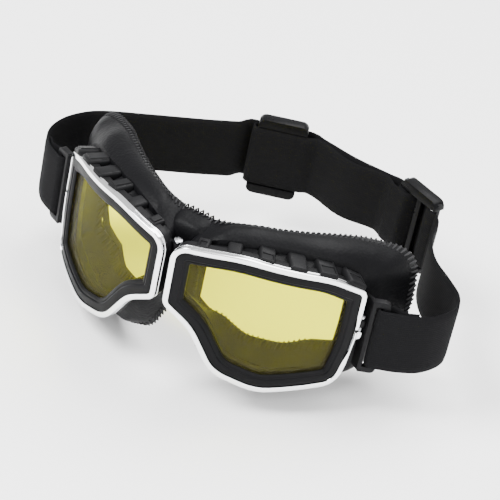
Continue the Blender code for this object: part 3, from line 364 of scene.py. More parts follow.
def inset_corners(corners, inset):
    """Moves every edge of a clockwise outline inwards."""
    moved = []
    for i, (corner, radius) in enumerate(corners):
        before, after = corners[i - 1][0], corners[(i + 1) % len(corners)][0]
        entry, leave = (corner - before).normalized(), (after - corner).normalized()
        inward_entry, inward_leave = Vector((entry.y, -entry.x)), Vector((leave.y, -leave.x))
        shift = (inward_entry + inward_leave) / (1.0 + inward_entry.dot(inward_leave))
        convex = turn_at(before, corner, after) > 0
        radius += -inset if convex else inset
        moved.append((corner + shift * inset, max(radius, LEAST_RADIUS)))
    return moved


def rounded_outline(corners, plan):
    """Points of an outline with rounded corners; equal plans give outlines that match point for point."""
    arcs = []
    for i, (corner, radius) in enumerate(corners):
        before, after = corners[i - 1][0], corners[(i + 1) % len(corners)][0]
        entry = (corner - before).normalized()
        turn = turn_at(before, corner, after)
        reach = radius * math.tan(abs(turn) / 2)
        centre = corner - entry * reach + Vector((entry.y, -entry.x)) * math.copysign(radius, turn)
        start = corner - entry * reach - centre
        steps = plan[i][0]
        arcs.append([centre + Matrix.Rotation(-turn * k / steps, 2) @ start for k in range(steps + 1)])
    outline = []
    for i, points in enumerate(arcs):
        outline.extend(points)
        following = arcs[(i + 1) % len(arcs)][0]
        pieces = plan[i][1]
        outline.extend(points[-1].lerp(following, k / pieces) for k in range(1, pieces))
    return outline


RIM_BASE = corner_points(RIM_CORNERS, RIM_WIDTH, RIM_HEIGHT, RIM_DROP)
PLAN = outline_plan(RIM_BASE)
SEAM, EYE = (
    rounded_outline(corner_points(corners, CUSHION_HALF_WIDTH, CUSHION_HEIGHT, CUSHION_DROP), PLAN)
    for corners in (SEAM_CORNERS, EYE_CORNERS)
)
print("points round each outline:", len(SEAM))


def rim_outline(inset):
    return rounded_outline(inset_corners(RIM_BASE, inset), PLAN)


def smoothstep(value):
    value = min(1.0, max(0.0, value))
    return value * value * (3.0 - 2.0 * value)


def wrap(u, v, depth, side):
    """A point of the lens surface, u along it from the nose end, v up and depth behind its front."""
    def flat(distance, behind):
        angle = (distance - WRAP_CENTRE) / WRAP_RADIUS
        reach = WRAP_RADIUS - behind
        return Vector((reach * math.sin(angle), WRAP_RADIUS - reach * math.cos(angle)))
    place = Matrix.Rotation(HALF_YAW, 2) @ (flat(u, depth) - flat(0.0, 0.0))
    return Vector((side * (place.x + RIM_GAP / 2), place.y, v))


def behind_rim(uv, behind, side):
    """A point straight back from the plane just behind the rim, flaring towards the temple."""
    start = wrap(uv.x, uv.y, RIM_DEPTH + GAP, side)
    rise = CUP_RISE * (uv.y - (RIM_HEIGHT / 2 - RIM_DROP)) / (RIM_HEIGHT / 2)
    return start + Vector((CUP_FLARE * uv.x / RIM_WIDTH * side, 1.0, rise)) * behind


def cup_depth(u):
    share = u / RIM_WIDTH
    rising = CUP_NOSE_DEPTH + (CUP_DEPTH - CUP_NOSE_DEPTH) * smoothstep((share - 0.15) / 0.45)
    return rising + (CUP_TEMPLE_DEPTH - CUP_DEPTH) * smoothstep((share - 0.89) / 0.09)


def on_face(point, side):
    """An outline's point laid on the wearer's face, which bends back from the nose to the temples."""
    share = smoothstep((abs(point.x) / CUSHION_HALF_WIDTH) ** FACE_BEND)
    setback = FACE_NOSE_SETBACK + (FACE_TEMPLE_SETBACK - FACE_NOSE_SETBACK) * share
    return Vector((side * point.x, setback, point.y))


# %% [markdown]
# ## Skins and pieces
# Most pieces here are skins: one cross-section carried round an outline. A grid with enough rows and columns
# is made first, its points are put in place, and the matching edges are welded.

# %% Skin and piece
SHARP = math.radians(32.0)


def skin(sections, round_trip=True):
    """A grid drawn over sections of equal length; round_trip joins the last to the first."""
    rows = len(sections) + (1 if round_trip else 0)
    columns = len(sections[0]) + 1
    bm = bmesh.new()
    bmesh.ops.create_grid(bm, x_segments=columns - 1, y_segments=rows - 1, size=1.0)
    ordered = sorted(bm.verts, key=lambda v: (round(v.co.y, 5), round(v.co.x, 5)))
    target, shape = {}, (len(sections), len(sections[0]))
    for index, vert in enumerate(ordered):
        row, column = divmod(index, columns)
        vert.co = sections[row % shape[0]][column % shape[1]]
        if row >= shape[0] or column >= shape[1]:
            target[vert] = ordered[(row % shape[0]) * columns + column % shape[1]]
    bmesh.ops.weld_verts(bm, targetmap=target)
    if not round_trip:
        bmesh.ops.holes_fill(bm, edges=[e for e in bm.edges if e.is_boundary], sides=0)
    return bm


def rounded_profile(corners):
    """A closed flat profile with each corner (a, b, radius) rounded by a short curve."""
    profile, steps = [], 3
    points = [Vector((a, b)) for a, b, _ in corners]
    for i, (_, _, radius) in enumerate(corners):
        corner, before, after = points[i], points[i - 1], points[(i + 1) % len(points)]
        start = corner + (before - corner).normalized() * radius
        end = corner + (after - corner).normalized() * radius
        for k in range(steps + 1):
            t = k / steps
            profile.append(start * (1 - t) ** 2 + corner * (2 * t * (1 - t)) + end * t * t)
    return profile


def ring(profile, side):
    """A profile of (inset, depth) carried round the rim's outline."""
    outlines = [rim_outline(p.x) for p in profile]
    return skin([[wrap(*outline[i], p.y, side) for outline, p in zip(outlines, profile)]
                 for i in range(len(outlines[0]))])


def merged(bm, others):
    """Adds other shapes to a bmesh."""
    for other in others:
        mesh = bpy.data.meshes.new("shape")
        other.to_mesh(mesh)
        other.free()
        bm.from_mesh(mesh)
        bpy.data.meshes.remove(mesh)
    return bm


def piece(name, bm, material, body, nodes=(), sharp=38.0):
    """Finishes a bmesh drawn from the corner into a piece that rides on a body."""
    bmesh.ops.translate(bm, verts=bm.verts, vec=CORNER)
    bmesh.ops.recalc_face_normals(bm, faces=bm.faces)
    mesh = bpy.data.meshes.new(name)
    bm.to_mesh(mesh)
    bm.free()
    mesh.materials.append(material)
    mesh.shade_smooth()
    mesh.set_sharp_from_angle(angle=math.radians(sharp))
    obj = shown(name, mesh)
    if body:
        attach(obj, body)
    if nodes:
        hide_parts(*nodes)
    print(name, len(mesh.polygons), "faces")
    return obj


def box(centre, axes, sizes, bevel, segments=3):
    """A box along three unit vectors, its edges rounded."""
    bm = bmesh.new()
    bmesh.ops.create_cube(bm, size=1.0)
    bmesh.ops.scale(bm, vec=sizes, verts=bm.verts)
    bmesh.ops.bevel(bm, geom=bm.edges[:], offset=bevel, offset_type="OFFSET", segments=segments,
                    profile=0.5, affect="EDGES", clamp_overlap=True)
    turn = Matrix((axes[0], axes[1], axes[2])).transposed().to_4x4()
    bmesh.ops.transform(bm, matrix=Matrix.Translation(centre) @ turn, verts=bm.verts)
    return bm


def softened(name, source, material, body, width):
    """A copy of a hard CAD piece with its edges rounded, which takes the piece's place."""
    bm = bmesh.new()
    bm.from_mesh(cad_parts[source].data)
    bmesh.ops.remove_doubles(bm, verts=bm.verts, dist=0.002 * MM)
    bmesh.ops.dissolve_limit(bm, angle_limit=math.radians(2.0), verts=bm.verts, edges=bm.edges)
    sharp = [e for e in bm.edges if len(e.link_faces) == 2 and e.calc_face_angle(0.0) > SHARP]
    bmesh.ops.bevel(bm, geom=sharp, offset=width, offset_type="OFFSET", segments=2, profile=0.5,
                    affect="EDGES", clamp_overlap=True)
    bmesh.ops.translate(bm, verts=bm.verts, vec=-CORNER)
    return piece(name, bm, material, body, (source,))


# %% [markdown]
# ## Rims
# Each rim is rolled from strip and plated. Its front edge is softly rounded, a fine groove runs round the
# side wall, and beside the closure the strip is cut narrow so that the two ends can be pulled together.
# A black collar behind the plated band holds the bezel. The lower lug is plated too, the upper one black.

# %% Chrome rims
NARROW_FROM, NARROW_UPPER = RIM_WIDTH * 0.85, 0.5
NARROW_TOP, NARROW_TOP_EASE = mm(3.0, 6.0)
NARROW_END, NARROW_END_EASE = mm(-16.0, 1.6)
LUG_SIZES, LUG_BEVEL = mm(3.1, 3.2, 4.0), 0.9 * MM
LUG_OUT, LUG_BACK = mm(0.95, 1.9)
LOWER_LUG, UPPER_LUG = mm(-8.4, -2.7)


def rim_profile(face, outer):
    return rounded_profile((
        (outer, 0.0, 0.45 * MM), (face, 0.0, 0.32 * MM), (face, RIM_WALL, 0.2 * MM),
        (outer + RIM_WALL, RIM_WALL, 0.1 * MM), (RIM_WALL, RIM_BAND, 0.1 * MM), (0.0, RIM_BAND, 0.3 * MM),
        (0.0, 2.2 * MM, 0.06 * MM), mm(0.30, 2.0, 0.05), (outer * 0.4, 1.8 * MM, 0.06 * MM),
    ))


def collar_profile():
    hook = RIM_DEPTH - 0.8 * MM
    return rounded_profile((
        (0.25 * MM, RIM_BAND + 0.05 * MM, 0.1 * MM), (RIM_WALL, RIM_BAND + 0.05 * MM, 0.1 * MM),
        (RIM_WALL, hook, 0.1 * MM), (RIM_HOOK, hook, 0.2 * MM), (RIM_HOOK, RIM_DEPTH, 0.3 * MM),
        (0.35 * MM, RIM_DEPTH, 0.5 * MM),
    ))


def narrowing(point):
    """How far the strip is cut back at a point of the outline, from 0 to 1."""
    if point.x < NARROW_FROM:
        return 0.0
    if point.y > SPLIT_HEIGHT:
        return NARROW_UPPER * smoothstep((NARROW_TOP - point.y) / NARROW_TOP_EASE)
    return 1.0 - smoothstep((NARROW_END - point.y) / NARROW_END_EASE)


def chrome_rim(side, word, body):
    wide, narrow = rim_profile(RIM_FACE, 0.0), rim_profile(RIM_NARROW, 0.45 * MM)
    base = rim_outline(0.0)
    insets = sorted({round(p.x, 7) for p in wide + narrow})
    outlines = {inset: rim_outline(inset) for inset in insets}
    count = len(base)

    def section(index, share=0.0):
        here, there = index % count, (index + 1) % count
        cut = narrowing(base[here].lerp(base[there], share))
        points = []
        for a, b in zip(wide, narrow):
            first = outlines[round(a.x, 7)][here].lerp(outlines[round(a.x, 7)][there], share)
            second = outlines[round(b.x, 7)][here].lerp(outlines[round(b.x, 7)][there], share)
            where = first.lerp(second, cut)
            points.append(wrap(where.x, where.y, a.y + (b.y - a.y) * cut, side))
        return points

    split = next(i for i in range(count) if base[i].x > RIM_WIDTH / 2
                 and base[i].y > SPLIT_HEIGHT >= base[(i + 1) % count].y)
    run = base[split].y - base[(split + 1) % count].y
    upper = (base[split].y - SPLIT_HEIGHT - SPLIT_GAP / 2) / run
    lower = (base[split].y - SPLIT_HEIGHT + SPLIT_GAP / 2) / run
    sections = [section(split, lower)]
    sections += [section(split + 1 + k) for k in range(count)]
    sections.append(section(split, upper))
    piece(f"chrome_rim_{word}_plated", skin(sections, round_trip=False), chrome, body,
          (f"chrome_rim_{word}",))
    piece(f"chrome_rim_{word}_collar", ring(collar_profile(), side), moulding, body)


def closure_lugs(side, word, body):
    edge = wrap(RIM_WIDTH, SPLIT_HEIGHT, 0.0, side)
    outward = (wrap(RIM_WIDTH + MM, SPLIT_HEIGHT, 0.0, side) - edge).normalized()
    inward = (wrap(RIM_WIDTH, SPLIT_HEIGHT, MM, side) - edge).normalized()
    for label, height, material in (("lower", LOWER_LUG, chrome), ("upper", UPPER_LUG, moulding)):
        centre = edge + outward * LUG_OUT + inward * LUG_BACK
        centre.z = height
        lug = box(centre, (outward, inward, UP), LUG_SIZES, LUG_BEVEL)
        piece(f"closure_lug_{label}_{word}", lug, material, body)


BODIES = {"left": "left_half", "right": "right_half"}
for side, word in SIDES:
    chrome_rim(side, word, BODIES[word])
    closure_lugs(side, word, BODIES[word])

# %% [markdown]
# ## Bezels and lenses
# The bezel is a moulded ring with a broad flat, a small step and a chamfer down to the lens. The lens is cut
# from sheet to the rim's outline: a flat blank, sliced into narrow strips so that it can bend, given its
# thickness, and wrapped onto the cylinder.

# %% Bezels and lenses
BEZEL_PROFILE = rounded_profile((
    mm(1.2, 1.2, 0.05), mm(2.6, 1.2, 0.05), mm(2.6, 0.5, 0.22),
    mm(5.7, 0.4, 0.30), mm(6.1, 0.95, 0.12), mm(6.8, 0.90, 0.25),
    (BEZEL_OPENING, 1.6 * MM, 0.22 * MM), (BEZEL_OPENING, 2.1 * MM, 0.12 * MM),
    mm(4.0, 2.1, 0.1), mm(4.0, 4.0, 0.1), mm(1.2, 4.0, 0.1),
))
LENS_STRIP = 2.0 * MM


def bezel(side, word, body):
    piece(f"lens_bezel_{word}_moulded", ring(BEZEL_PROFILE, side), bezel_black, body,
          (f"lens_bezel_{word}",))


def lens(side, word, body):
    bm = bmesh.new()
    blank = [bm.verts.new((point.x, point.y, LENS_FRONT)) for point in rim_outline(LENS_EDGE)]
    bmesh.ops.contextual_create(bm, geom=blank)
    for k in range(1, int(RIM_WIDTH / LENS_STRIP) + 1):
        bmesh.ops.bisect_plane(bm, geom=bm.verts[:] + bm.edges[:] + bm.faces[:], dist=1e-7,
                               plane_co=(k * LENS_STRIP, 0.0, 0.0), plane_no=(1.0, 0.0, 0.0))
    raised = bmesh.ops.extrude_face_region(bm, geom=bm.faces[:], use_keep_orig=True)["geom"]
    bmesh.ops.translate(bm, verts=[item for item in raised if isinstance(item, bmesh.types.BMVert)],
                        vec=(0.0, 0.0, LENS_BACK - LENS_FRONT))
    for vert in bm.verts:
        vert.co = wrap(vert.co.x, vert.co.y, vert.co.z, side)
    piece(f"lens_{word}_tinted", bm, lens_tint, body, (f"lens_{word}",))


for side, word in SIDES:
    bezel(side, word, BODIES[word])
    lens(side, word, BODIES[word])

# %% [markdown]
# ## Cups, vents and hardware
# The cups, with bracket and hinge knuckles, keep their moulded shape and get rounded edges. A vent hood is a
# plump little scoop with its mouth towards the nose. Sliders have a generous radius, since webbing runs
# over them.

# %% Cups, hoods, sliders
VENTS = 6
HOOD_START, HOOD_RUN = mm(11.0, 62.0)
HOOD_WIDTH, HOOD_GROWTH, HOOD_HEIGHT = mm(5.2, 3.8, 3.9)
HOOD_LIFT, HOOD_FORWARD, HOOD_BEVEL = mm(0.95, 4.0, 1.2)
MOUTH_RIM, MOUTH_DEPTH = mm(0.25, 0.5)
CUP_EDGE, SLIDER_EDGE, SCREW_EDGE, PIN_EDGE = mm(0.22, 0.55, 0.08, 0.2)


def top_edge_point(outline, distance):
    """The point of the upper outline at this distance from the nose end."""
    middle = RIM_HEIGHT / 2 - RIM_DROP
    for here, there in zip(outline, outline[1:]):
        if here.x <= distance <= there.x and here.y > middle:
            return here.lerp(there, (distance - here.x) / (there.x - here.x))


def vent_hood(side, k):
    share = k / (VENTS - 1)
    distance = HOOD_START + HOOD_RUN * share
    depth = cup_depth(distance)
    outline = rim_outline(CUP_INSET)
    foot = behind_rim(top_edge_point(outline, distance), depth / 2, side)
    beside = behind_rim(top_edge_point(outline, distance + MM), depth / 2, side)
    along = (beside - foot).normalized()
    inward = Vector((-along.y, along.x, 0.0)).normalized() * side
    above = along.cross(inward) * side
    centre = foot + above * HOOD_LIFT - inward * HOOD_FORWARD / 2
    sizes = (HOOD_WIDTH + HOOD_GROWTH * share, depth + HOOD_FORWARD, HOOD_HEIGHT)
    hood = box(centre, (along, inward, above), sizes, HOOD_BEVEL, 4)
    mouth = min(hood.faces, key=lambda f: f.calc_center_median().dot(along) - f.calc_area() * 1e3)
    bmesh.ops.inset_region(hood, faces=[mouth], thickness=MOUTH_RIM, depth=-MOUTH_DEPTH)
    return hood


for side, word in SIDES:
    hoods = [vent_hood(side, k) for k in range(VENTS)]
    piece(f"vent_hoods_{word}", merged(hoods[0], hoods[1:]), moulding, BODIES[word], sharp=50.0)
    softened(f"cup_frame_{word}_moulded", f"cup_frame_{word}", moulding, BODIES[word], CUP_EDGE)
    softened(f"slider_{word}_moulded", f"slider_{word}", slider_black, f"strap_slider_{word}",
             SLIDER_EDGE)
    softened(f"rim_screw_{word}_turned", f"rim_screw_{word}", steel, f"closure_{word}", SCREW_EDGE)
softened("bridge_hinge_pin_turned", "bridge_hinge_pin", steel, "left_half", PIN_EDGE)

# %% [markdown]
# ## Face cushion
# A cover of leather is stretched over foam. Seen in section it leaves the cup, swells outwards, and turns in
# to the seam that follows the wearer's face; inside, it falls back to the eye opening. The stitches pull the
# edge in, so small puckers run down from it, and the hide wrinkles where it bends round the nose and temple.

# %% Cushion sections
COVER_INSET, COVER_EASE, LEAST_COVER = mm(0.6, 12.0, 3.4)
SEAM_LIP, CREASE = mm(0.55, 0.75)
PUCKER_PITCH, PUCKER = mm(2.2, 0.10)
EYE_SETBACK, LEAST_WELL = mm(1.5, 5.0)
WELL_NOSE_DEPTH, WELL_DEEPENS, WELL_EASE, WELL_HOLLOW = 0.45, 0.25, 26.0 * MM, 0.6 * MM
FOAM_GAP = 0.7 * MM


def spline(points, pieces):
    """Points of a smooth curve through the given ones."""
    curve = []
    last = len(points) - 1
    for i in range(last):
        a, b = points[max(i - 1, 0)], points[i]
        c, d = points[i + 1], points[min(i + 2, last)]
        for k in range(pieces):
            t = k / pieces
            curve.append(0.5 * (b * 2 + (c - a) * t + (a * 2 - b * 5 + c * 4 - d) * t**2
                                + (b * 3 - a - c * 3 + d) * t**3))
    curve.append(points[-1])
    return curve


def creased(point):
    """Slow unevenness of the hide with finer wrinkles over it, about -0.7 to 0.7."""
    fine = Vector((point.x * 260, point.y * 90, point.z * 90))
    return noise.noise(point * 70.0) * 0.5 + noise.noise(fine) * 0.22


def cover_face(front_outer, seam_point, swell, away, pucker):
    """The outer leather from the cup to the seam, swollen, puckered and creased."""
    bulge = swell * CUSHION_BULGE * away
    face = [front_outer + swell * GAP * away]
    for along, share in ((0.22, 0.72), (0.48, 1.0), (0.76, 0.86)):
        face.append(front_outer.lerp(seam_point, along) + bulge * share)
    face = spline(face + [seam_point + swell * SEAM_LIP * away], 5)
    for k, point in enumerate(face):
        share = k / (len(face) - 1)
        crease = creased(point) * CREASE * math.sin(share * math.pi)
        point += swell * (crease + pucker * share**2) * away
    return face


def foam_section(seam_point, inner_split):
    """The pad between seam and eye opening, thickest in the middle, with a flat back."""
    behind, thick = Vector((0.0, FOAM_GAP, 0.0)), Vector((0.0, FOAM_THICKNESS, 0.0))
    pad = [seam_point.lerp(inner_split, 0.08) + behind]
    for along, share in ((0.20, 0.75), (0.5, 1.04), (0.82, 0.8)):
        pad.append(seam_point.lerp(inner_split, along) + thick * share)
    pad.append(seam_point.lerp(inner_split, 0.95) + behind)
    return spline(pad, 3) + [seam_point.lerp(inner_split, 0.5) + behind]


def cushion(side):
    """Covers, foams and edge lines for one half: a list of sections each, and the seam and eye lines."""
    outer, wide = rim_outline(CUP_INSET), rim_outline(COVER_INSET)
    inner = rim_outline(CUP_INSET + CUP_WALL + GAP)
    middle = Vector((side * CUSHION_HALF_WIDTH * 0.52, 0.0, -4.0 * MM))
    covers, foams, seam_line, eye_line = [], [], [], []
    travelled = 0.0
    for i, rim_point in enumerate(outer):
        away = smoothstep((rim_point.x - COVER_EASE / 2) / COVER_EASE)
        depth = cup_depth(rim_point.x) + 0.1 * MM
        front_outer = behind_rim(outer[i].lerp(wide[i], away), depth, side)
        front_inner = behind_rim(inner[i], depth, side)
        seam_point, eye_point = on_face(SEAM[i], side), on_face(EYE[i], side)
        seam_point.y = max(seam_point.y, front_outer.y + LEAST_COVER)
        eye_point.y = max(eye_point.y + EYE_SETBACK, front_inner.y + LEAST_WELL)
        outward = seam_point - middle
        outward.y = 0.0
        outward.normalize()
        chord = seam_point - front_outer
        swell = (outward * chord.y - Vector((0.0, 1.0, 0.0)) * chord.dot(outward)).normalized()
        if seam_line:
            travelled += (seam_point - seam_line[-1][0]).length
        pucker = math.sin(travelled / PUCKER_PITCH * math.pi * 2) * PUCKER
        front = cover_face(front_outer, seam_point, swell, away, pucker)
        inside = eye_point - front_inner
        deep = WELL_NOSE_DEPTH + WELL_DEEPENS * smoothstep(rim_point.x / WELL_EASE)
        inner_split = front_inner + Vector((inside.x * 0.2, inside.y * deep, inside.z * 0.8))
        inwards = (inner_split - seam_point).normalized()
        back = spline([seam_point - swell * 0.1 * MM, seam_point.lerp(inner_split, 0.5), inner_split], 3)
        hollow = inner_split.lerp(front_inner, 0.5) - inwards * WELL_HOLLOW
        well = spline([inner_split, hollow, front_inner], 3)
        covers.append(front + back[:-1] + well)
        foams.append(foam_section(seam_point, inner_split))
        seam_line.append((seam_point, front[-5], swell, back[1]))
        eye_line.append((inner_split, well[2], inwards, back[-2]))
    return covers, foams, seam_line, eye_line


# %% [markdown]
# The **overlock stitch** wraps the raw edge of leather and foam in thread. Each stitch is one short run of
# thread that climbs from the face of the leather over the edge and ends behind it, leaning a little along
# the seam. There are hundreds, so each is a tube with few faces.

# %% Stitching
SEAM_STITCH = mm(2.3, 0.52, 0.55)     # pitch, thread radius and lean
EYE_STITCH = mm(2.4, 0.40, 0.40)
STITCH_WOBBLE = 0.18 * MM


def stitch(points, radius):
    """A short tube of thread along a few points, pinched at its ends."""
    sections, sides = [], 5
    last = len(points) - 1
    for i, place in enumerate(points):
        along = (points[min(i + 1, last)] - points[max(i - 1, 0)]).normalized()
        across = along.orthogonal().normalized()
        other = along.cross(across)
        size = radius * (0.55 if i in (0, last) else 1.0)
        sections.append([place + (across * math.cos(a) + other * math.sin(a)) * size
                         for a in (2 * math.pi * k / sides for k in range(sides))])
    return skin(sections, round_trip=False)


def overlock(line, pitch, radius, lean, closed=True):
    """Stitches along an edge line of (edge, face point, outward, back point)."""
    shapes, travelled, wanted = [], 0.0, 0.0
    count = len(line)
    for i in range(count if closed else count - 1):
        here, there = line[i], line[(i + 1) % count]
        length = (there[0] - here[0]).length
        while wanted <= travelled + length and length > 0:
            share = (wanted - travelled) / length
            edge, face, out, rear = (here[k].lerp(there[k], share) for k in range(4))
            run = (there[0] - here[0]).normalized() * lean
            wobble = noise.noise(edge * 900.0) * STITCH_WOBBLE
            lift = out.normalized() * radius
            path = [face + lift * 0.3 - run, face.lerp(edge, 0.5) + lift * 1.2 - run * 0.3,
                    edge + lift * 1.5 + run * 0.3, edge.lerp(rear, 0.6) + run + lift * 0.2]
            path = [point + (there[0] - here[0]).normalized() * wobble for point in path]
            shapes.append(stitch(path, radius))
            wanted += pitch
        travelled += length
    return merged(shapes[0], shapes[1:])


for side, word in SIDES:
    covers, foams, seam_line, eye_line = cushion(side)
    cover = piece(f"cushion_cover_{word}_leather", skin(covers), leather, BODIES[word],
                  (f"cushion_cover_{word}",), 60.0)
    pad = piece(f"face_foam_{word}_soft", skin(foams), foam, BODIES[word],
                (f"face_foam_{word}",), 60.0)
    piece(f"seam_stitching_{word}", overlock(seam_line, *SEAM_STITCH), thread, BODIES[word])
    piece(f"eye_stitching_{word}", overlock(eye_line, *EYE_STITCH), thread, BODIES[word])

# %% [markdown]
# ## Over the nose
# A soft strap of leather bridges the two cushions and hides the hinge from behind. It starts at the brow
# seam, runs forward over the top, and hangs down behind the hinge. It crosses the fold and rides on neither
# half.

# %% Nose leather
NOSE_LINE = (
    (24.8, 26.8, 9.6), (24.0, 28.3, 9.4), (20.5, 28.6, 9.0), (16.5, 28.0, 8.0), (13.8, 26.4, 6.9),
    (12.4, 22.0, 5.4), (11.9, 12.0, 4.6), (11.9, 0.0, 4.7), (12.6, -7.0, 4.9), (14.5, -12.6, 5.3),
)
NOSE_SAG, NOSE_DROOP, NOSE_THICKNESS, NOSE_CREASE = mm(0.6, 3.2, 1.2, 0.3)
NOSE_TOP, NOSE_TOP_EASE = mm(18.0, 8.0)
BROW_HALF, BROW_SPREAD, BROW_STITCHES = 6.0 * MM, 9.4 * MM, 13
BROW_EDGE, BROW_FACE, BROW_REAR = mm(24.4, 28.2), mm(21.4, 28.6), mm(24.3, 26.6)


def nose_leather():
    """Sections across the nose, each sagging a little in the middle and tucked down at its sides."""
    line = spline([Vector((y, z, half)) * MM for y, z, half in NOSE_LINE], 4)
    sections = []
    for i, point in enumerate(line):
        along = (line[min(i + 1, len(line) - 1)] - line[max(i - 1, 0)]).normalized()
        inward = Vector((0.0, -along.y, along.x))
        row = [point.z * (k / 7 - 1) for k in range(15)]
        top = smoothstep((point.y - NOSE_TOP) / NOSE_TOP_EASE)
        front = []
        for x in row:
            share = abs(x / point.z)
            crease = noise.noise(Vector((x * 160, i * 0.25, 0.0))) * NOSE_CREASE
            sag = NOSE_SAG * (1 - share**2) + crease
            droop = NOSE_DROOP * top * share**4
            front.append(Vector((x, point.x, point.y)) + inward * sag - UP * droop)
        rear = [place + inward * NOSE_THICKNESS for place in front]
        sections.append(front + rear[::-1])
    return sections


saddle = piece("nose_saddle_leather", skin(nose_leather(), round_trip=False), leather, None,
               ("nose_saddle",), 60.0)
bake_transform(saddle)
brow = []
for k in range(BROW_STITCHES):
    x = (2 * k / (BROW_STITCHES - 1) - 1) * BROW_HALF
    share = abs(x) / BROW_SPREAD
    drop = NOSE_SAG * (1 - share**2) + NOSE_DROOP * share**4
    edge, face, rear = (Vector((x, y, z - drop)) for y, z in (BROW_EDGE, BROW_FACE, BROW_REAR))
    brow.append((edge, face, UP, rear))
brow_stitching = piece("brow_stitching", overlock(brow, *SEAM_STITCH, closed=False), thread, None)
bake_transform(brow_stitching)

# %% [markdown]
# ## Strap
# The strap is two lengths of elastic. The left one leaves its bracket, passes outside the first slider and
# ends in a loop round the second slider's near bar. The right one weaves through the second slider and ends
# round the first one's far bar. Each is a thin upright ribbon that follows a plan curve. The loops that end
# them are pieces of their own, so that they can travel with their slider.

# %% Strap sizes
STRAP_TAIL, FOLD_CENTRE, ROUTE_STEP = mm(15.0, 0.45, 1.8)
BRACKET_START, BRACKET_ANGLE = mm(74.0, 44.4), math.radians(26.6)
BRACKET_THICKNESS, BRACKET_SLOT, BRACKET_BAR = mm(2.6, 3.0, 2.8)
SLIDER_LENGTH, SLIDER_BAR, SLIDER_BAR_DEPTH = mm(22.0, 2.6, 2.2)
SLIDER_STRAIGHT, SLIDER_EASE = mm(12.0, 4.0)
SLIDER_1, SLIDER_1_ANGLE = Vector((-16.6, 131.4)) * MM, math.radians(22.5)
SLIDER_2, SLIDER_2_ANGLE = Vector((53.6, 128.0)) * MM, math.radians(-21.8)
STRAP_LEFT_ROUTE = ((-85.5, 49.8), (-90.5, 56.5), (-92.2, 65.5), (-90.0, 76.0), (-83.5, 86.0),
                    (-66.0, 99.5), (-46.0, 114.0))
STRAP_BACK_ROUTE = ((18.0, 134.5),)
STRAP_RIGHT_ROUTE = ((67.6, 114.5), (70.2, 104.0), (77.5, 92.5), (88.5, 83.5), (96.0, 76.5),
                     (98.8, 68.0), (94.6, 56.5), (87.0, 50.0))

# %% [markdown]
# The **route** is one smooth plan curve through all the stops, from the left bracket round to the right one.
# Webbing is drawn beside it, at an offset that says which side of a slider's bar it passes.

# %% Route
def smooth_curve(points, step):
    """A smooth plan curve through the points, with tangents from their neighbours."""
    curve, last = [], len(points) - 1
    for i in range(last):
        here, there = points[i], points[i + 1]
        stretch = (there - here).length
        tangents = []
        for j in (i, i + 1):
            before, after = points[max(j - 1, 0)], points[min(j + 1, last)]
            tangents.append((after - before).normalized() * stretch)
        pieces = max(4, round(stretch / step))
        for k in range(pieces):
            t = k / pieces
            curve.append(here * (2 * t**3 - 3 * t**2 + 1) + tangents[0] * (t**3 - 2 * t**2 + t)
                         + there * (3 * t**2 - 2 * t**3) + tangents[1] * (t**3 - t**2))
    curve.append(points[-1])
    return curve


class Route:
    """A plan curve that gives a point at a distance along it and an offset to its left."""

    def __init__(self, points):
        self.points = smooth_curve(points, MM)
        self.lengths = [0.0]
        for here, there in zip(self.points, self.points[1:]):
            self.lengths.append(self.lengths[-1] + (there - here).length)
        self.length = self.lengths[-1]

    def at(self, distance, offset=0.0):
        reach = 1.5 * MM
        along = (self.centre(distance + reach) - self.centre(distance - reach)).normalized()
        return self.centre(distance) + Vector((-along.y, along.x)) * offset

    def centre(self, distance):
        index = 0
        while index < len(self.points) - 2 and self.lengths[index + 1] < distance:
            index += 1
        share = (distance - self.lengths[index]) / (self.lengths[index + 1] - self.lengths[index])
        return self.points[index].lerp(self.points[index + 1], share)

    def nearest(self, place):
        best = min(range(len(self.points)), key=lambda i: (self.points[i] - place).length)
        return self.lengths[best]


REACH = BRACKET_THICKNESS / 2 + GAP + STRAP_THICKNESS / 2


def bracket_anchor(side):
    start = Vector((side * BRACKET_START[0], BRACKET_START[1]))
    outward = Vector((side * math.cos(BRACKET_ANGLE), math.sin(BRACKET_ANGLE)))
    inward = Vector((-side * math.sin(BRACKET_ANGLE), math.cos(BRACKET_ANGLE)))
    return start + outward * BRACKET_SLOT + inward * (BRACKET_THICKNESS / 2 - REACH), outward


def slider_points(centre, angle, leaving):
    along = Vector((math.cos(angle), math.sin(angle)))
    spacing = (-SLIDER_STRAIGHT - SLIDER_EASE, -SLIDER_STRAIGHT, 0.0, *leaving)
    return [centre + along * distance for distance in spacing]


left_start, left_out = bracket_anchor(LEFT)
right_start, right_out = bracket_anchor(RIGHT)
bar_and_more = BRACKET_BAR + 2.2 * MM
leaving_1 = (SLIDER_STRAIGHT, SLIDER_STRAIGHT + SLIDER_EASE)
leaving_2 = (SLIDER_STRAIGHT - SLIDER_EASE / 2, SLIDER_STRAIGHT + SLIDER_EASE / 8)
stops = [left_start, left_start + left_out * BRACKET_BAR, left_start + left_out * bar_and_more]
stops += [Vector(place) * MM for place in STRAP_LEFT_ROUTE]
stops += slider_points(SLIDER_1, SLIDER_1_ANGLE, leaving_1)
stops += [Vector(place) * MM for place in STRAP_BACK_ROUTE]
stops += slider_points(SLIDER_2, SLIDER_2_ANGLE, leaving_2)
stops += [Vector(place) * MM for place in STRAP_RIGHT_ROUTE]
stops += [right_start + right_out * bar_and_more, right_start + right_out * BRACKET_BAR, right_start]
route = Route(stops)
print("strap length", round(route.length / MM), "mm")


def stepped(distance, marks):
    """A value that follows (distance, value) marks, easing between them."""
    if distance <= marks[0][0]:
        return marks[0][1]
    for (low, first), (high, second) in zip(marks, marks[1:]):
        if distance <= high:
            return first + (second - first) * smoothstep((distance - low) / (high - low))
    return marks[-1][1]


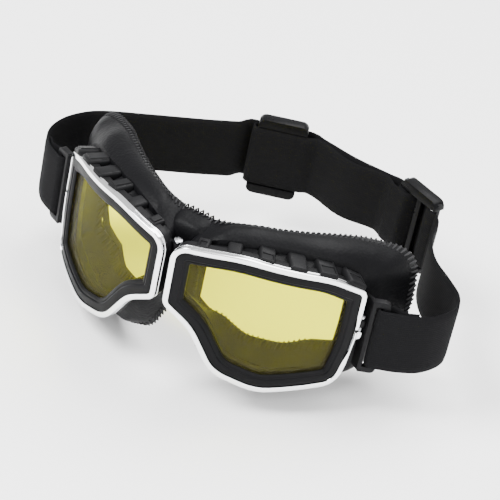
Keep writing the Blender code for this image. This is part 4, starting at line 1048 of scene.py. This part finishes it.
def span(low, high, step):
    pieces = max(1, math.ceil(abs(high - low) / step))
    return [low + (high - low) * k / pieces for k in range(pieces + 1)]


def bracket_loop(at_end):
    """The tail behind a bracket's outer bar and its turn round the bar, up to the front."""
    path = []
    marks = ((BRACKET_BAR + MM, 2 * REACH), (STRAP_TAIL * 0.75, STRAP_THICKNESS + GAP))
    for distance in reversed(span(FOLD_CENTRE, STRAP_TAIL, 1.5 * MM)):
        apart = stepped(distance, marks)
        path.append(route.at(route.length - distance if at_end else distance, -apart))
    path.pop()
    for angle in span(math.pi, 0.0, math.pi / 10):
        beyond = FOLD_CENTRE - REACH * math.sin(angle)
        distance = route.length - beyond if at_end else beyond
        path.append(route.at(distance, -REACH + REACH * math.cos(angle)))
    return path


ON_BAR = SLIDER_BAR_DEPTH / 2 + GAP + STRAP_THICKNESS / 2
ON_LAYER = ON_BAR + GAP + STRAP_THICKNESS
BETWEEN = STRAP_THICKNESS / 2 + GAP
FIRST, SECOND, BAR = route.nearest(SLIDER_1), route.nearest(SLIDER_2), SLIDER_LENGTH / 2
LOOP_RUN, LOOP_LAP = mm(17.0, 9.0)
LEFT_TURN = SECOND - BAR + SLIDER_BAR - FOLD_CENTRE
RIGHT_TURN = FIRST - BAR + FOLD_CENTRE
LEFT_MARKS = (
    (FIRST - BAR - 9.0 * MM, 0.0), (FIRST - BAR - 2.5 * MM, ON_LAYER), (FIRST + BAR, ON_LAYER),
    (FIRST + BAR + 8.0 * MM, BETWEEN), (SECOND - BAR - 9.0 * MM, BETWEEN), (SECOND - BAR - 1.5 * MM, ON_BAR),
)
FAR_LAYER = -(ON_LAYER + 0.1 * MM)
RIGHT_MARKS = (
    (FIRST + BAR, -ON_BAR), (FIRST + BAR + 7.0 * MM, -BETWEEN), ((FIRST + SECOND) / 2, -BETWEEN - 2.2 * MM),
    (SECOND - BAR - 10.0 * MM, -BETWEEN), (SECOND - BAR - 3.0 * MM, FAR_LAYER),
    (SECOND - BAR + SLIDER_BAR + 1.7 * MM, FAR_LAYER), (SECOND - 1.6 * MM, ON_BAR),
    (SECOND + 1.6 * MM, ON_BAR), (SECOND + BAR - SLIDER_BAR - 0.6 * MM, -ON_BAR),
    (SECOND + BAR + 1.0 * MM, -ON_BAR), (SECOND + BAR + 9.0 * MM, 0.0),
)

# %% [markdown]
# A **ribbon** is the webbing itself: an upright strip along a path, its selvedges rounded, with a UV map in
# metres for the weave. The end loops are a little thicker, so that no two surfaces share a place.

# %% Ribbons
SELVEDGE, SELVEDGE_SHARE = 0.35 * MM, 0.62
WOVEN_STEP, LOOP_STEP, LOOP_TAIL, LOOP_EXTRA = mm(0.7, 1.2, 3.0, 0.16)


def ribbon(path, thickness=STRAP_THICKNESS):
    """Upright webbing along a plan path, with rounded selvedges and a UV map in metres."""
    half, last = thickness / 2, len(path) - 1
    sections, distances, travelled, rows = [], [], 0.0, 8
    for i, place in enumerate(path):
        if i:
            travelled += (place - path[i - 1]).length
        distances.append(travelled)
        entry = (place - path[i - 1]).normalized() if i else (path[1] - place).normalized()
        leave = (path[i + 1] - place).normalized() if i < last else entry
        first, second = Vector((-entry.y, entry.x)), Vector((-leave.y, leave.x))
        across = (first + second) / (1.0 + first.dot(second))
        low, high = STRAP_TOP - STRAP_WIDTH, STRAP_TOP
        between = [low + (high - low) * k / rows for k in range(1, rows)]
        heights = [low + SELVEDGE] + between + [high - SELVEDGE]
        bow = [SELVEDGE_SHARE] + [1.0] * (rows - 1) + [SELVEDGE_SHARE]
        outer = [Vector((*(place + across * half * b), z)) for z, b in zip(heights, bow)]
        inner = [Vector((*(place - across * half * b), z)) for z, b in zip(heights[::-1], bow)]
        sections.append(outer + [Vector((*place, high))] + inner + [Vector((*place, low))])
    bm = skin(sections, round_trip=False)
    layer = bm.loops.layers.uv.new("UVMap")
    lengths = {}
    for section, distance in zip(sections, distances):
        for point in section:
            lengths[tuple(round(c, 7) for c in point)] = distance
    for face in bm.faces:
        for loop in face.loops:
            key = tuple(round(c, 7) for c in loop.vert.co)
            loop[layer].uv = (lengths.get(key, 0.0), loop.vert.co.z)
    return bm


def strap_left_path():
    path = bracket_loop(at_end=False)
    run = span(FOLD_CENTRE, LEFT_TURN - LOOP_LAP, ROUTE_STEP)[1:]
    return path + [route.at(distance, stepped(distance, LEFT_MARKS)) for distance in run]


def strap_right_path():
    near = SECOND + BAR + 10.0 * MM
    woven = span(near, SECOND - BAR - 11.0 * MM, WOVEN_STEP)
    run = span(route.length - FOLD_CENTRE, near, ROUTE_STEP)[1:-1] + woven
    run += span(woven[-1], RIGHT_TURN + LOOP_LAP, ROUTE_STEP)[1:]
    path = bracket_loop(at_end=True)
    return path + [route.at(distance, stepped(distance, RIGHT_MARKS)) for distance in run]


def end_loop(turn, way, marks):
    """The loop that ends a length round a slider's bar; way is +1 if the bar is beyond the strap."""
    path = [route.at(turn - way * distance, stepped(turn - way * distance, marks))
            for distance in reversed(span(0.0, LOOP_RUN, LOOP_STEP)[1:])]
    for angle in span(0.0, math.pi, math.pi / 10):
        path.append(route.at(turn + way * ON_BAR * math.sin(angle), way * ON_BAR * math.cos(angle)))
    path.append(route.at(turn - way * LOOP_TAIL, -way * ON_BAR))
    return path


for word, path in (("left", strap_left_path()), ("right", strap_right_path())):
    strap = piece(f"strap_{word}_webbing", ribbon(path), webbing, None,
                  (f"strap_{word}",), 70.0)
    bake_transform(strap)
thick = STRAP_THICKNESS + LOOP_EXTRA
for word, turn, way, marks, body in (
    ("left", LEFT_TURN, 1, LEFT_MARKS, "strap_slider_right"),
    ("right", RIGHT_TURN, -1, RIGHT_MARKS, "strap_slider_left"),
):
    piece(f"strap_{word}_end_loop", ribbon(end_loop(turn, way, marks), thick), webbing, body,
          sharp=70.0)

# %% [markdown]
# ## The room
# A pale floor and a bright even sky, as in a light tent, with three soft lights for shape.

# %% The room
FLOOR_SIZE, FLOOR_GAP, FLOOR_GREY = 4.0, 0.3 * MM, 0.93
LIGHT_AIM = Vector((0.0, 0.0, 0.04))

floor_mesh = bpy.data.meshes.new("floor")
bm = bmesh.new()
bmesh.ops.create_grid(bm, x_segments=1, y_segments=1, size=FLOOR_SIZE)
bm.to_mesh(floor_mesh)
bm.free()
floor = shown("floor", floor_mesh)
floor_mesh.transform(Matrix.Translation((0.0, 0.0, cad_bounds[0][2] - FLOOR_GAP)))
pale = finish("pale floor", (FLOOR_GREY, FLOOR_GREY, FLOOR_GREY), 0.9)
floor_mesh.materials.append(pale)

world = bpy.data.worlds.new("room")
world.use_nodes = True
background = world.node_tree.nodes["Background"]
background.inputs["Color"].default_value = (1.0, 1.0, 1.0, 1.0)
background.inputs["Strength"].default_value = 1.0
bpy.context.scene.world = world


def soft_light(name, place, size, power):
    """A square area light that looks at the goggles."""
    data = bpy.data.lights.new(name, "AREA")
    data.size = size
    data.energy = power
    light = shown(name, data)
    light.location = place
    light.rotation_euler = (LIGHT_AIM - Vector(place)).to_track_quat("-Z", "Y").to_euler()


soft_light("key", (-0.5, -0.5, 0.9), 0.5, 30.0)
soft_light("fill", (0.8, -0.5, 0.6), 0.8, 12.0)
soft_light("top", (0.1, 0.5, 1.0), 0.9, 26.0)
